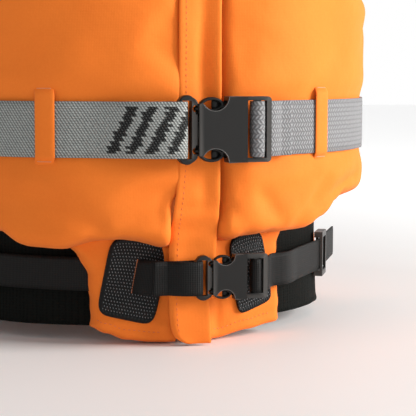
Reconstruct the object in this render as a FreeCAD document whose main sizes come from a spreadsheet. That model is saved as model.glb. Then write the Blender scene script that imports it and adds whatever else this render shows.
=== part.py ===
import FreeCAD, Part
import math
import os
import Sketcher
from FreeCAD import Placement, Rotation, Vector

# Adult life jacket: two zipped foam front panels, a foam back, a collar and two side-release
# belts. Millimetres. +Z is up, the chest faces -Y, and +X is the wearer's left. The hem
# stands on z = 0 and the origin is at the middle of the jacket's plan.

SIZES = {
    # torso: the inside of the jacket is an ellipse at each level, with one straight front line
    "front_line": 112,
    "hem_level": 0, "hem_half_width": 152, "hem_half_depth": 112,
    "belly_level": 60, "belly_half_width": 149, "belly_half_depth": 112,
    "waist_level": 120, "waist_half_width": 149, "waist_half_depth": 112,
    "rib_level": 200, "rib_half_width": 150, "rib_half_depth": 112,
    "chest_level": 280, "chest_half_width": 157, "chest_half_depth": 115,
    "arm_level": 365, "arm_half_width": 166, "arm_half_depth": 119,
    "yoke_level": 455, "yoke_half_width": 171, "yoke_half_depth": 121,
    "centring_shift": 5.5,
    # foam and fabric thickness
    "side_thickness": 32, "front_thickness": 44, "back_thickness": 30,
    "fabric": 1.4, "lining": 1.2, "foam_gap": 0.4, "seam_gap": 0.4,
    "dome_rise": 90, "dome_rise_inside": 72,
    # front panel outline, seen from the front
    "valley_half_width": 17, "foam_bottom": 77, "foam_bend_x": 48, "foam_bend_z": 79,
    "foam_turn_x": 78, "foam_turn_z": 87, "foam_corner_x": 106, "foam_corner_z": 98,
    "front_side_y": -25, "zip_top": 372, "neck_half_width": 62,
    "strap_outer": 128, "armhole_waist_x": 124, "armhole_waist_z": 400, "armhole_low_x": 132,
    "armhole_low_z": 325, "armhole_turn_x": 152, "armhole_turn_z": 272, "armhole_base": 250,
    "outside": 260, "above_all": 700,
    # back panel and yoke
    "back_bottom": 25, "back_side_y": 30, "yoke_split_y": 40, "neck_centre_y": -10,
    "neck_half_depth": 85,
    # skirts and side panels
    "skirt_inside": 3, "skirt_outside": 18, "skirt_half_width": 72, "facing_edge": 8,
    "hem_flat_x": 22, "hem_bend_x": 46, "hem_bend_z": 5, "hem_side_z": 11.5,
    "back_skirt_half_width": 120, "side_panel_inside": -3.5, "side_panel_outside": -0.5,
    "side_panel_front_x": 60, "side_panel_back_x": 118, "side_panel_top": 250,
    # zip
    "zip_plane": 131.6, "zip_bottom": 10, "tape_edge": 2.8, "tape_outer": 16.4,
    "tape_thickness": 0.8, "tooth_pitch": 4, "tooth_height": 1.7, "tooth_reach": 1.5,
    "tooth_root": 2.4, "tooth_spine": 3.4, "tooth_depth": 3, "tooth_margin": 0.5,
    "zip_box_half_width": 5, "zip_box_depth": 6, "zip_box_height": 7, "zip_box_below": 4,
    "zip_box_slot_gap": 0.2, "zip_teeth_rise": 8, "flap_left": 15.4, "flap_right": 16.6,
    "flap_front": 145, "flap_thickness": 3, "flap_bottom": 3, "flap_top": 335,
    "slider_half_width": 6.5, "slider_height": 15, "slider_depth": 7.2,
    "slider_channel_half_width": 5.3, "slider_channel_depth": 4.4, "tape_slot": 1.8,
    "slider_post_radius": 1.1, "slider_post_inset": 0.4, "crown_foot": 3, "crown_height": 9,
    "crown_reach": 3.6,
    "crown_width": 3, "crown_wall": 1, "pull_bar_radius": 0.8, "pull_bar_reach": 2.1,
    "pull_half_width": 4.5, "pull_length": 30, "pull_thickness": 1.6, "pull_arm_width": 1.4,
    "pull_arm_length": 7,
    # belts
    "webbing": 2, "waist_belt_level": 160, "waist_webbing": 40, "lower_belt_level": 51.5,
    "lower_webbing": 25, "belt_clearance": 0.7, "loop_centre_x": 104, "loop_half_width": 6.5,
    "loop_rise": 3, "loop_half_height": 28.5, "loop_wall": 1.6, "loop_foot": 5,
    "loop_gap": 0.4, "loop_ease": 1.3, "loop_window_spare": 9, "back_loop_x": 60,
    "belt_tangent_angle": 61, "belt_end_x": 183, "belt_end_y": 28,
    "belt_off_panel": 4.4,
    # belt patches on the front skirts
    "left_patch_inner": 33, "left_patch_outer": 62, "right_patch_inner": 17,
    "right_patch_outer": 56, "patch_top": 75.5, "patch_bottom": 22.5, "patch_lean": 10,
    "patch_thickness": 5, "patch_channel": 3.4, "patch_slot_x": 47, "patch_slot_width": 13.6,
    # waist buckle
    "waist_mouth_x": -3, "waist_plane": 165, "waist_length": 55, "waist_half_height": 23.5,
    "waist_depth": 12, "waist_frame_depth": 6, "waist_housing": 36, "waist_cavity": 8,
    "waist_mouth_half": 17.5, "waist_cavity_half": 20.5, "waist_post": 3, "waist_notch_x": 11.8,
    "waist_notch_radius": 10, "waist_slot_end": 43, "waist_bar_end": 47,
    "waist_slot_two_end": 51.5, "waist_slot_half": 20.6, "waist_ring_length": 17,
    "waist_ring_half": 25, "waist_ring_depth": 7, "waist_ring_bar": 5, "waist_tongue": 25,
    "waist_tongue_half": 5, "waist_pivot_x": -2.2, "waist_pivot_z": 15, "waist_knuckle": 2.2,
    "waist_arm_half": 1.7, "waist_prong_depth": 5, "waist_round": 3, "waist_soft": 1,
    # lower buckle
    "lower_mouth_x": 13, "lower_plane": 149.8, "lower_length": 42.5, "lower_half_height": 16.5,
    "lower_depth": 8.4, "lower_frame_depth": 4.6, "lower_housing": 26, "lower_cavity": 5.6,
    "lower_mouth_half": 12.2, "lower_cavity_half": 14.4, "lower_post": 2.2,
    "lower_notch_x": 9.4, "lower_notch_radius": 7.4, "lower_slot_end": 32,
    "lower_bar_end": 35.5, "lower_slot_two_end": 39.3, "lower_slot_half": 13,
    "lower_ring_length": 14, "lower_ring_half": 16.8, "lower_ring_depth": 5,
    "lower_ring_bar": 4, "lower_tongue": 18, "lower_tongue_half": 3.4,
    "lower_pivot_x": -1.7, "lower_pivot_z": 10.4, "lower_knuckle": 1.6,
    "lower_arm_half": 1.25, "lower_prong_depth": 3.6, "lower_round": 2.2, "lower_soft": 0.7,
    "pivot_clearance": 0.3,
    # belt adjusters on the lower belt
    "adjuster_half_length": 12, "adjuster_slot_half": 13.6, "adjuster_rail": 4.6,
    "adjuster_bar": 3, "adjuster_bar_depth": 2, "adjuster_gap": 0.45, "adjuster_at": 14,
    # collar
    "collar_inner_gap": 4, "collar_thickness": 32, "collar_front_y": 30, "collar_base": 480,
    "collar_behind": 140, "collar_top": 600, "collar_front_top": 566, "collar_slope": 34,
    "collar_lift": 0.8, "collar_foam_gap": 0.4, "collar_side_drop": 24,
    "collar_crown_share": 0.62,
}
LEVELS = ("hem", "belly", "waist", "rib", "chest", "arm", "yoke")

doc = FreeCAD.newDocument("life_jacket")
sheet = doc.addObject("Spreadsheet::Sheet", "Sizes")
for row, (alias, number) in enumerate(SIZES.items(), start=1):
    sheet.set("A%d" % row, alias)
    sheet.set("B%d" % row, str(number))
    sheet.setAlias("B%d" % row, alias)
doc.recompute()
pieces = []


def size(alias):
    """One driving dimension, read from the sheet."""
    return float(sheet.get(alias))


def feature(label, shape):
    """A sub-part whose solid is worked out here."""
    piece = doc.addObject("Part::Feature", label)
    piece.Label = label
    piece.Shape = shape.removeSplitter()
    piece.Placement = Placement(Vector(0, size("centring_shift"), 0), Rotation())
    pieces.append(piece)
    return piece


# ---------------------------------------------------------------- solids worked out by hand

def torso_centre(level):
    """How far behind the origin the torso's ellipse is centred, so its front line is straight."""
    return size(level + "_half_depth") - size("front_line")


def ellipse_wire(half_width, half_depth, centre_y, z):
    """A level ellipse."""
    centre = Vector(0, centre_y, z)
    if half_width >= half_depth:
        curve = Part.Ellipse(centre, half_width, half_depth)
    else:
        curve = Part.Ellipse(centre + Vector(0, half_depth, 0),
                             centre + Vector(half_width, 0, 0), centre)
    return Part.Wire([curve.toShape()])


def torso(side, depth):
    """The torso's form, grown by side along X and by depth along Y."""
    rings = []
    for level in LEVELS:
        rings.append(ellipse_wire(size(level + "_half_width") + side,
                                  size(level + "_half_depth") + depth,
                                  torso_centre(level), size(level + "_level")))
    return Part.makeLoft(rings, True, False)


def dome(side, depth, rise):
    """The rounded top of the same form, above the yoke level."""
    ball = Part.makeSphere(1)
    matrix = FreeCAD.Matrix()
    matrix.scale(size("yoke_half_width") + side, size("yoke_half_depth") + depth, rise)
    shape = ball.transformGeometry(matrix)
    shape.translate(Vector(0, torso_centre("yoke"), size("yoke_level")))
    return shape.common(slab_z(size("yoke_level") + size("seam_gap"),
                               size("above_all")))


def slab_z(low, high):
    """Everything between two heights."""
    wide = 2 * size("outside")
    return Part.makeBox(wide, wide, high - low, Vector(-wide / 2, -wide / 2, low))


def slab_y(low, high):
    """Everything between two depths."""
    wide = 2 * size("outside")
    return Part.makeBox(wide, high - low, size("above_all"), Vector(-wide / 2, low, 0))


def front_prism(points, y_low=None, y_high=None):
    """A closed outline in X and Z, pushed along Y."""
    y_low = -size("outside") if y_low is None else y_low
    y_high = size("outside") if y_high is None else y_high
    corners = [Vector(x, y_low, z) for x, z in points]
    face = Part.Face(Part.makePolygon(corners + corners[:1]))
    return face.extrude(Vector(0, y_high - y_low, 0))


def inset_prism(points, inset, y_low, y_high):
    """The same, with its outline moved inwards."""
    corners = [Vector(x, y_low, z) for x, z in points]
    wire = Part.makePolygon(corners + corners[:1])
    if inset:
        wire = wire.makeOffset2D(-inset, 2)
    return Part.Face(wire).extrude(Vector(0, y_high - y_low, 0))


def mirrored(shape):
    """The same solid on the wearer's other side."""
    return shape.mirror(Vector(0, 0, 0), Vector(1, 0, 0))


def shell_layer(low, high, thickness, region):
    """The layer between two shares of a panel's thickness, inside a region."""
    side = size("side_thickness")
    outer = torso(side * high, thickness * high)
    inner = torso(side * low, thickness * low)
    return outer.common(region).cut(inner)


def offset_layer(low, high, region):
    """The layer between two even offsets from the torso, inside a region."""
    return torso(high, high).common(region).cut(torso(low, low))


def panel_set(name, outline, thickness, y_low, y_high, both_sides):
    """A padded panel: open cover, lining and two foam slabs."""
    fabric = size("fabric") / thickness
    lining = size("lining") / thickness
    gap = size("foam_gap") / thickness
    wall = size("fabric")
    inner_wall = wall + size("foam_gap")
    whole = inset_prism(outline, 0, y_low, y_high)
    cup = inset_prism(outline, wall, y_low + wall, y_high - wall)
    filling = inset_prism(outline, inner_wall, y_low + inner_wall, y_high - inner_wall)
    middle = (lining + 1 - fabric) / 2
    cover = shell_layer(lining, 1, thickness, whole).cut(
        torso(size("side_thickness") * (1 - fabric), thickness * (1 - fabric)).common(cup))
    layers = {
        "cover": cover,
        "lining": shell_layer(0, lining - gap / 2, thickness, cup),
        "foam_inner": shell_layer(lining + gap, middle - gap / 2, thickness, filling),
        "foam_outer": shell_layer(middle + gap / 2, 1 - fabric - gap, thickness, filling),
    }
    for layer, shape in layers.items():
        if both_sides:
            feature("front_left_" + layer, shape)
            feature("front_right_" + layer, mirrored(shape))
        else:
            feature(name + "_" + layer, shape)


def front_outline():
    """The left front panel, seen from the front."""
    return [
        (size("valley_half_width"), size("foam_bottom")),
        (size("foam_bend_x"), size("foam_bend_z")),
        (size("foam_turn_x"), size("foam_turn_z")),
        (size("foam_corner_x"), size("foam_corner_z")),
        (size("outside"), size("foam_corner_z")),
        (size("outside"), size("armhole_base")),
        (size("armhole_turn_x"), size("armhole_turn_z")),
        (size("armhole_low_x"), size("armhole_low_z")),
        (size("armhole_waist_x"), size("armhole_waist_z")),
        (size("strap_outer"), size("yoke_level")),
        (size("neck_half_width"), size("yoke_level")),
        (size("valley_half_width"), size("zip_top")),
    ]


def back_outline():
    """The back panel, seen from behind: the same armholes, straight across the yoke."""
    half = [
        (size("outside"), size("back_bottom")),
        (size("outside"), size("armhole_base")),
        (size("armhole_turn_x"), size("armhole_turn_z")),
        (size("armhole_low_x"), size("armhole_low_z")),
        (size("armhole_waist_x"), size("armhole_waist_z")),
        (size("strap_outer"), size("yoke_level")),
    ]
    return half + [(-x, z) for x, z in reversed(half)]


def shoulders_and_yoke():
    """Padded straps over the shoulders, and the yoke across the back of the neck."""
    side = size("side_thickness")
    middle = torso_centre("yoke")
    hollow = dome(0, 0, size("dome_rise_inside"))
    front = dome(side, size("front_thickness"), size("dome_rise")).common(slab_y(-size("outside"), middle))
    back = dome(side, size("back_thickness"), size("dome_rise")).common(
        slab_y(middle, size("outside")))
    top = size("above_all")
    strap = front_prism([(size("neck_half_width"), 0), (size("strap_outer"), 0),
                         (size("strap_outer"), top), (size("neck_half_width"), top)])
    split = size("yoke_split_y")
    straps = front.common(strap).cut(hollow).fuse(
        back.common(strap).cut(hollow).common(slab_y(middle, split)))
    feature("shoulder_left", straps)
    feature("shoulder_right", mirrored(straps))
    wide = front_prism([(-size("strap_outer"), 0), (size("strap_outer"), 0),
                        (size("strap_outer"), top), (-size("strap_outer"), top)])
    yoke = back.common(wide).common(slab_y(split + size("seam_gap"), size("outside"))).cut(hollow)
    feature("back_yoke", yoke.cut(neck_column(0, size("armhole_waist_z"), top)))


def neck_column(grow, low, high):
    """The neck opening as an upright elliptical column."""
    base = ellipse_wire(size("neck_half_width") + grow, size("neck_half_depth") + grow,
                        size("neck_centre_y"), low)
    return Part.Face(base).extrude(Vector(0, 0, high - low))


def skirts_and_sides():
    """The thin skirts below the foam, and the mesh side panels behind the belts."""
    gap = size("seam_gap")
    facing = [
        (size("facing_edge"), 0),
        (size("hem_flat_x"), 0),
        (size("hem_bend_x"), size("hem_bend_z")),
        (size("skirt_half_width"), size("hem_side_z")),
        (size("skirt_half_width"), size("foam_bottom") - gap),
        (size("valley_half_width") - gap, size("foam_bottom") - gap),
        (size("valley_half_width") - gap, size("zip_top")),
        (size("facing_edge"), size("zip_top")),
    ]
    skirt = offset_layer(size("skirt_inside"), size("skirt_outside"),
                         front_prism(facing, -size("outside"), 0))
    feature("front_skirt_left", skirt)
    feature("front_skirt_right", mirrored(skirt))
    half = size("back_skirt_half_width")
    tail = front_prism([(-half, 0), (half, 0), (half, size("back_bottom") - gap),
                        (-half, size("back_bottom") - gap)], 0, size("outside"))
    feature("back_skirt", offset_layer(size("skirt_inside"), size("skirt_outside"), tail))
    low, top = size("hem_side_z"), size("side_panel_top")
    ring = torso(size("side_panel_outside"), size("side_panel_outside"))
    ring = ring.cut(torso(size("side_panel_inside"), size("side_panel_inside")))
    front = front_prism([(size("side_panel_front_x"), low), (size("outside"), low),
                         (size("outside"), top), (size("side_panel_front_x"), top)],
                        -size("outside"), 0)
    back = front_prism([(size("side_panel_back_x"), low), (size("outside"), low),
                        (size("outside"), top), (size("side_panel_back_x"), top)],
                       0, size("outside"))
    panel = ring.common(front.fuse(back))
    feature("side_panel_left", panel)
    feature("side_panel_right", mirrored(panel))


def zip_parts():
    """Tapes, meshing tooth rows and the bottom box, under a flap sewn to the left panel."""
    plane = -size("zip_plane")
    low = size("zip_bottom")
    top = size("zip_top")
    tape = Part.makeBox(size("tape_outer") - size("tape_edge"), size("tape_thickness"), top - low,
                        Vector(size("tape_edge"), plane - size("tape_thickness") / 2, low))
    pitch = size("tooth_pitch")
    count = int((top - low - size("slider_height")) / pitch)
    start = low + size("zip_teeth_rise") - pitch
    depth = size("tooth_depth") / 2
    margin = size("tooth_margin")

    def comb(first):
        spine, root, reach = size("tooth_spine"), size("tooth_root"), -size("tooth_reach")
        outline = [(spine, first - margin), (root, first - margin)]
        for tooth in range(count):
            foot = first + tooth * pitch
            head = foot + size("tooth_height")
            outline += [(root, foot), (reach, foot), (reach, head), (root, head)]
        end = first + count * pitch
        outline += [(root, end), (spine, end)]
        solid = front_prism(outline, plane - depth, plane + depth)
        slot = Part.makeBox(size("tape_outer"), size("tape_thickness"), size("above_all"),
                            Vector(size("tape_edge"), plane - size("tape_thickness") / 2, 0))
        return solid.cut(slot)

    feature("zip_tape_left", tape)
    feature("zip_tape_right", mirrored(tape))
    feature("zip_teeth_left", comb(start + pitch))
    feature("zip_teeth_right", mirrored(comb(start + 1.5 * pitch)))
    half = size("zip_box_half_width")
    deep = size("zip_box_depth")
    box = Part.makeBox(2 * half, deep, size("zip_box_height"),
                       Vector(-half, plane - deep / 2, low - size("zip_box_below")))
    gap = size("zip_box_slot_gap")
    slot = Part.makeBox(2 * size("tape_outer"), size("tape_thickness") + 2 * gap,
                        size("zip_box_height"),
                        Vector(-size("tape_outer"), plane - size("tape_thickness") / 2 - gap,
                               low - gap))
    feature("zip_box", box.cut(slot))
    flap = front_prism([(-size("flap_left"), size("flap_bottom")),
                        (size("flap_right"), size("flap_bottom")),
                        (size("flap_right"), size("flap_top")),
                        (-size("flap_left"), size("flap_top"))],
                       -size("flap_front"), size("flap_thickness") - size("flap_front"))
    feature("zip_flap", flap)


# ---------------------------------------------------------------- belts

def on_ellipse(level, side, depth, angle):
    """A plan point on the grown torso; the angle runs from the front round the left side."""
    turn = math.radians(angle)
    return Vector((size(level + "_half_width") + side) * math.sin(turn),
                  torso_centre(level) - (size(level + "_half_depth") + depth) * math.cos(turn), 0)


def band(points, half_thickness, z_low, z_high, straight_to=None):
    """Webbing on edge: a smooth plan line, then an optional straight run, pushed upwards."""
    tangents = []
    for here in range(len(points)):
        before = points[max(here - 1, 0)]
        after = points[min(here + 1, len(points) - 1)]
        tangents.append((after - before).normalize())
    if straight_to:
        tangents[-1] = (straight_to - points[-1]).normalize()
    sides = []
    for sign in (1, -1):
        line = []
        for point, tangent in zip(points, tangents):
            normal = Vector(tangent.y, -tangent.x, 0)
            line.append(point + normal * sign * half_thickness)
        curve = Part.BSplineCurve()
        curve.interpolate(line)
        edges = [curve.toShape()]
        last = line[-1]
        if straight_to:
            normal = Vector(tangents[-1].y, -tangents[-1].x, 0)
            last = straight_to + normal * sign * half_thickness
            edges.append(Part.LineSegment(line[-1], last).toShape())
        sides.append((line[0], edges, last))
    start = Part.LineSegment(sides[0][0], sides[1][0]).toShape()
    end = Part.LineSegment(sides[0][2], sides[1][2]).toShape()
    wire = Part.Wire(Part.__sortEdges__(sides[0][1] + sides[1][1] + [start, end]))
    face = Part.Face(wire)
    face.translate(Vector(0, 0, z_low))
    return face.extrude(Vector(0, 0, z_high - z_low))


def waist_path(grow):
    """The waist belt's plan line on the left, from the front round to the back seam."""
    side = size("side_thickness") + grow
    points = [on_ellipse("rib", side, size("front_thickness") + grow, angle)
              for angle in range(24, 91, 6)]
    points += [on_ellipse("rib", side, size("back_thickness") + grow, angle)
               for angle in range(96, 181, 6)]
    points[-1].x = 0.2
    return points


def belts():
    """Both belts, each in a left and a right length."""
    thick = size("webbing") / 2
    grow = size("belt_clearance") + thick
    waist = (size("waist_belt_level") - size("waist_webbing") / 2,
             size("waist_belt_level") + size("waist_webbing") / 2)
    mid = -size("waist_plane")
    tail = size("waist_slot_two_end") + size("waist_mouth_x")
    under_bar = Vector(tail - 2, mid + size("waist_frame_depth") / 2 + thick + 0.4, 0)
    left = [under_bar, under_bar + Vector(6, 0.2, 0)] + waist_path(grow)
    feature("waist_belt_left", band(left, thick, *waist))
    over_bar = Vector(size("waist_ring_length") - size("waist_ring_bar")
                      - size("waist_mouth_x"), mid - size("waist_ring_depth") / 2 - thick - 0.2, 0)
    right = [over_bar, over_bar + Vector(4, 0, 0), over_bar + Vector(7, 0.1, 0),
             over_bar + Vector(14, 1.4, 0)] + waist_path(grow)
    feature("waist_belt_right", mirrored(band(right, thick, *waist)))

    lower = (size("lower_belt_level") - size("lower_webbing") / 2,
             size("lower_belt_level") + size("lower_webbing") / 2)
    mid = -size("lower_plane")
    skirt = size("skirt_outside")
    over_patch = skirt + size("patch_thickness") + 2 * thick
    in_patch = skirt + size("patch_channel") / 2 + 0.3
    beside = size("side_panel_outside") + thick + size("belt_off_panel")
    side_run = [on_ellipse("belly", beside, beside, angle)
                for angle in (44, 52, size("belt_tangent_angle"))]
    corner = Vector(size("belt_end_x"), size("belt_end_y"), 0)
    tail = size("lower_slot_two_end") + size("lower_mouth_x")
    under_bar = Vector(tail - 2, mid + size("lower_frame_depth") / 2 + thick + 0.3, 0)
    leaving = on_ellipse("belly", over_patch, over_patch, 27.5)
    taut = side_run[-1] - leaving
    left = [under_bar, under_bar + Vector(5, 1, 0),
            on_ellipse("belly", over_patch, over_patch, 23.5), leaving,
            leaving + taut * 0.35, leaving + taut * 0.7, side_run[-1]]
    feature("lower_belt_left", band(left, thick, *lower, straight_to=corner))
    over_bar = Vector(size("lower_ring_length") - size("lower_ring_bar") - size("lower_mouth_x"),
                      mid - size("lower_ring_depth") / 2 - thick - 0.2, 0)
    right = [over_bar, over_bar + Vector(3, 0, 0), over_bar + Vector(5.5, 0.1, 0),
             over_bar + Vector(10, 1.2, 0), over_bar + Vector(20, 5.8, 0),
             on_ellipse("belly", over_patch, over_patch, 10.8),
             on_ellipse("belly", over_patch, over_patch, 12.2)]
    right += [on_ellipse("belly", in_patch, in_patch, angle) for angle in (16, 18, 21, 24, 27)]
    feature("lower_belt_right",
            mirrored(band(right + side_run, thick, *lower, straight_to=corner)))


def belt_loops():
    """Fabric bridges that hold the waist belt against the panels."""
    clear = size("loop_gap")
    inside = size("belt_clearance") + size("webbing") + size("loop_ease")
    outside = inside + size("loop_wall")
    half = size("loop_half_height")
    middle = size("waist_belt_level") + size("loop_rise")
    for name, centre, thickness, y_low, y_high in (
            ("belt_loop", size("loop_centre_x"), size("front_thickness"), -size("outside"), 0),
            ("back_belt_loop", size("back_loop_x"), size("back_thickness"), 0,
             size("outside"))):
        side = size("side_thickness")
        low_x = centre - size("loop_half_width")
        high_x = centre + size("loop_half_width")
        region = front_prism([(low_x, middle - half), (high_x, middle - half),
                              (high_x, middle + half), (low_x, middle + half)], y_low, y_high)
        foot = half - size("loop_foot")
        low_edge = low_x - size("loop_window_spare")
        high_edge = high_x + size("loop_window_spare")
        window = front_prism([(low_edge, middle - foot), (high_edge, middle - foot),
                              (high_edge, middle + foot), (low_edge, middle + foot)],
                             y_low, y_high)
        outer = torso(side + outside, thickness + outside).common(region)
        loop = outer.cut(torso(side + clear, thickness + clear))
        loop = loop.cut(torso(side + inside, thickness + inside).common(window))
        feature(name + "_left", loop)
        feature(name + "_right", mirrored(loop))


def belt_patches():
    """Reinforcing patches on the front skirts: the lower belt dives through the right one."""
    bottom, top = size("patch_bottom"), size("patch_top")
    base = size("skirt_outside") + size("foam_gap")

    def pad(inner, outer):
        foot = min(outer + size("patch_lean"), size("skirt_half_width"))
        region = front_prism([(inner + size("patch_lean"), bottom), (foot, bottom),
                              (outer, top), (inner, top)], -size("outside"), 0)
        return offset_layer(base, size("skirt_outside") + size("patch_thickness"), region)

    feature("belt_patch_left", pad(size("left_patch_inner"), size("left_patch_outer")))
    half = size("lower_webbing") / 2 + 1
    middle = size("lower_belt_level")

    def band_room(low_x, high_x):
        return front_prism([(low_x, middle - half), (high_x, middle - half),
                            (high_x, middle + half), (low_x, middle + half)],
                           -size("outside"), 0)

    slot_x = size("patch_slot_x")
    under = size("skirt_outside") + size("patch_channel")
    hollow = torso(under, under).common(band_room(slot_x, size("outside")))
    slot = band_room(slot_x - size("patch_slot_width"), slot_x)
    patch = pad(size("right_patch_inner"), size("right_patch_outer"))
    feature("belt_patch_right", mirrored(patch.cut(hollow).cut(slot)))


# ---------------------------------------------------------------- collar

def collar_block(inset, bottom_open):
    """The horseshoe collar, made smaller on every side by an inset."""
    low = size("collar_inner_gap") + inset
    high = size("collar_inner_gap") + size("collar_thickness") - inset
    base, above = size("collar_base"), size("above_all")
    ring = neck_column(high, base, above).cut(neck_column(low, base, above))
    front = size("collar_front_y") + inset
    top = size("collar_top") - inset
    behind, outside = size("collar_behind"), size("outside")
    side_view = [Vector(-outside, front, base),
                 Vector(-outside, front, size("collar_front_top") - inset),
                 Vector(-outside, front + size("collar_slope"), top),
                 Vector(-outside, behind, top), Vector(-outside, behind, base)]
    wedge = Part.Face(Part.makePolygon(side_view + side_view[:1]))
    wedge = wedge.extrude(Vector(2 * outside, 0, 0))
    half = size("neck_half_width") + high
    shoulder = half * size("collar_crown_share")
    drop = top - size("collar_side_drop")
    crown = front_prism([(-half, base), (half, base), (half, drop), (shoulder, top),
                         (-shoulder, top), (-half, drop)])
    block = ring.common(wedge).common(crown)
    if bottom_open:
        return block
    lift = size("collar_lift") + inset
    seat = dome(size("side_thickness") + lift, size("back_thickness") + lift,
                size("dome_rise") + lift)
    return block.cut(seat)


def collar():
    """Foam in a fabric cover that is open where it is sewn to the yoke."""
    fabric = size("fabric")
    feature("collar_cover", collar_block(0, False).cut(collar_block(fabric, True)))
    feature("collar_foam", collar_block(fabric + size("collar_foam_gap"), False))


# ---------------------------------------------------------------- moulded parts

def new_body(label):
    body = doc.addObject("PartDesign::Body", label)
    body.Label = label
    pieces.append(body)
    return body


def sketch_on(body, role, name):
    """An empty sketch on one of the body's own origin planes."""
    plane = [item for item in body.Origin.OriginFeatures if item.Role == role][0]
    sketch = body.newObject("Sketcher::SketchObject", name)
    sketch.AttachmentSupport = (plane, "")
    sketch.MapMode = "FlatFace"
    return sketch


def bind(sketch, constraint, name, expression):
    index = sketch.addConstraint(constraint)
    sketch.renameConstraint(index, name)
    sketch.setExpression("Constraints." + name, expression)


def worth(expression):
    """What an expression in the sheet's words comes to, for a sketch's first guess."""
    probe = sheet.evalExpression(expression.replace("Sizes.", ""))
    return float(probe)


def outline(sketch, corners, tag="c"):
    """A closed polygon whose corners are bound to expressions."""
    spots = [Vector(worth(across), worth(up), 0) for across, up in corners]
    lines = []
    for here in range(len(spots)):
        segment = Part.LineSegment(spots[here], spots[(here + 1) % len(spots)])
        lines.append(sketch.addGeometry(segment, False))
    for here in range(len(spots)):
        following = lines[(here + 1) % len(spots)]
        sketch.addConstraint(Sketcher.Constraint("Coincident", lines[here], 2, following, 1))
    for here, (across, up) in enumerate(corners):
        bind(sketch, Sketcher.Constraint("DistanceX", -1, 1, lines[here], 1, spots[here].x),
             "%s%d_across" % (tag, here), across)
        bind(sketch, Sketcher.Constraint("DistanceY", -1, 1, lines[here], 1, spots[here].y),
             "%s%d_up" % (tag, here), up)


def box_outline(sketch, low_x, high_x, low_z, high_z, tag="b"):
    outline(sketch, [(low_x, low_z), (high_x, low_z), (high_x, high_z), (low_x, high_z)], tag)


def disc(sketch, across, up, radius, tag="d"):
    """A circle whose centre and radius are bound to expressions."""
    circle = Part.Circle(Vector(worth(across), worth(up), 0), Vector(0, 0, 1), worth(radius))
    index = sketch.addGeometry(circle, False)
    bind(sketch, Sketcher.Constraint("DistanceX", -1, 1, index, 3, worth(across)),
         tag + "_across", across)
    bind(sketch, Sketcher.Constraint("DistanceY", -1, 1, index, 3, worth(up)), tag + "_up", up)
    bind(sketch, Sketcher.Constraint("Radius", index, worth(radius)), tag + "_radius", radius)


def both_ways(body, kind, sketch, name, length):
    """A pad or pocket that reaches equally to both sides of its sketch."""
    made = body.newObject("PartDesign::" + kind, name)
    made.Profile = sketch
    made.SideType = "Symmetric"
    made.setExpression("Length", length)
    doc.recompute()
    return made


def soften(body, base, name, radius, wanted):
    """Round the edges of a feature that pass a test."""
    names = ["Edge%d" % (index + 1) for index, edge in enumerate(base.Shape.Edges)
             if wanted(edge)]
    made = body.newObject("PartDesign::Fillet", name)
    made.Base = (base, names)
    made.setExpression("Radius", radius)
    doc.recompute()
    return made


def runs_along_y(edge):
    box = edge.BoundBox
    return box.XLength < 0.01 and box.ZLength < 0.01


def cell(prefix, word):
    return "Sizes.%s_%s" % (prefix, word)


def place_buckle(body, prefix, turned=False):
    spin = Rotation(Vector(1, 0, 0), 180) if turned else Rotation()
    body.Placement = Placement(Vector(size(prefix + "_mouth_x"),
                                      size("centring_shift") - size(prefix + "_plane"),
                                      size(prefix + "_belt_level")), spin)


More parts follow.
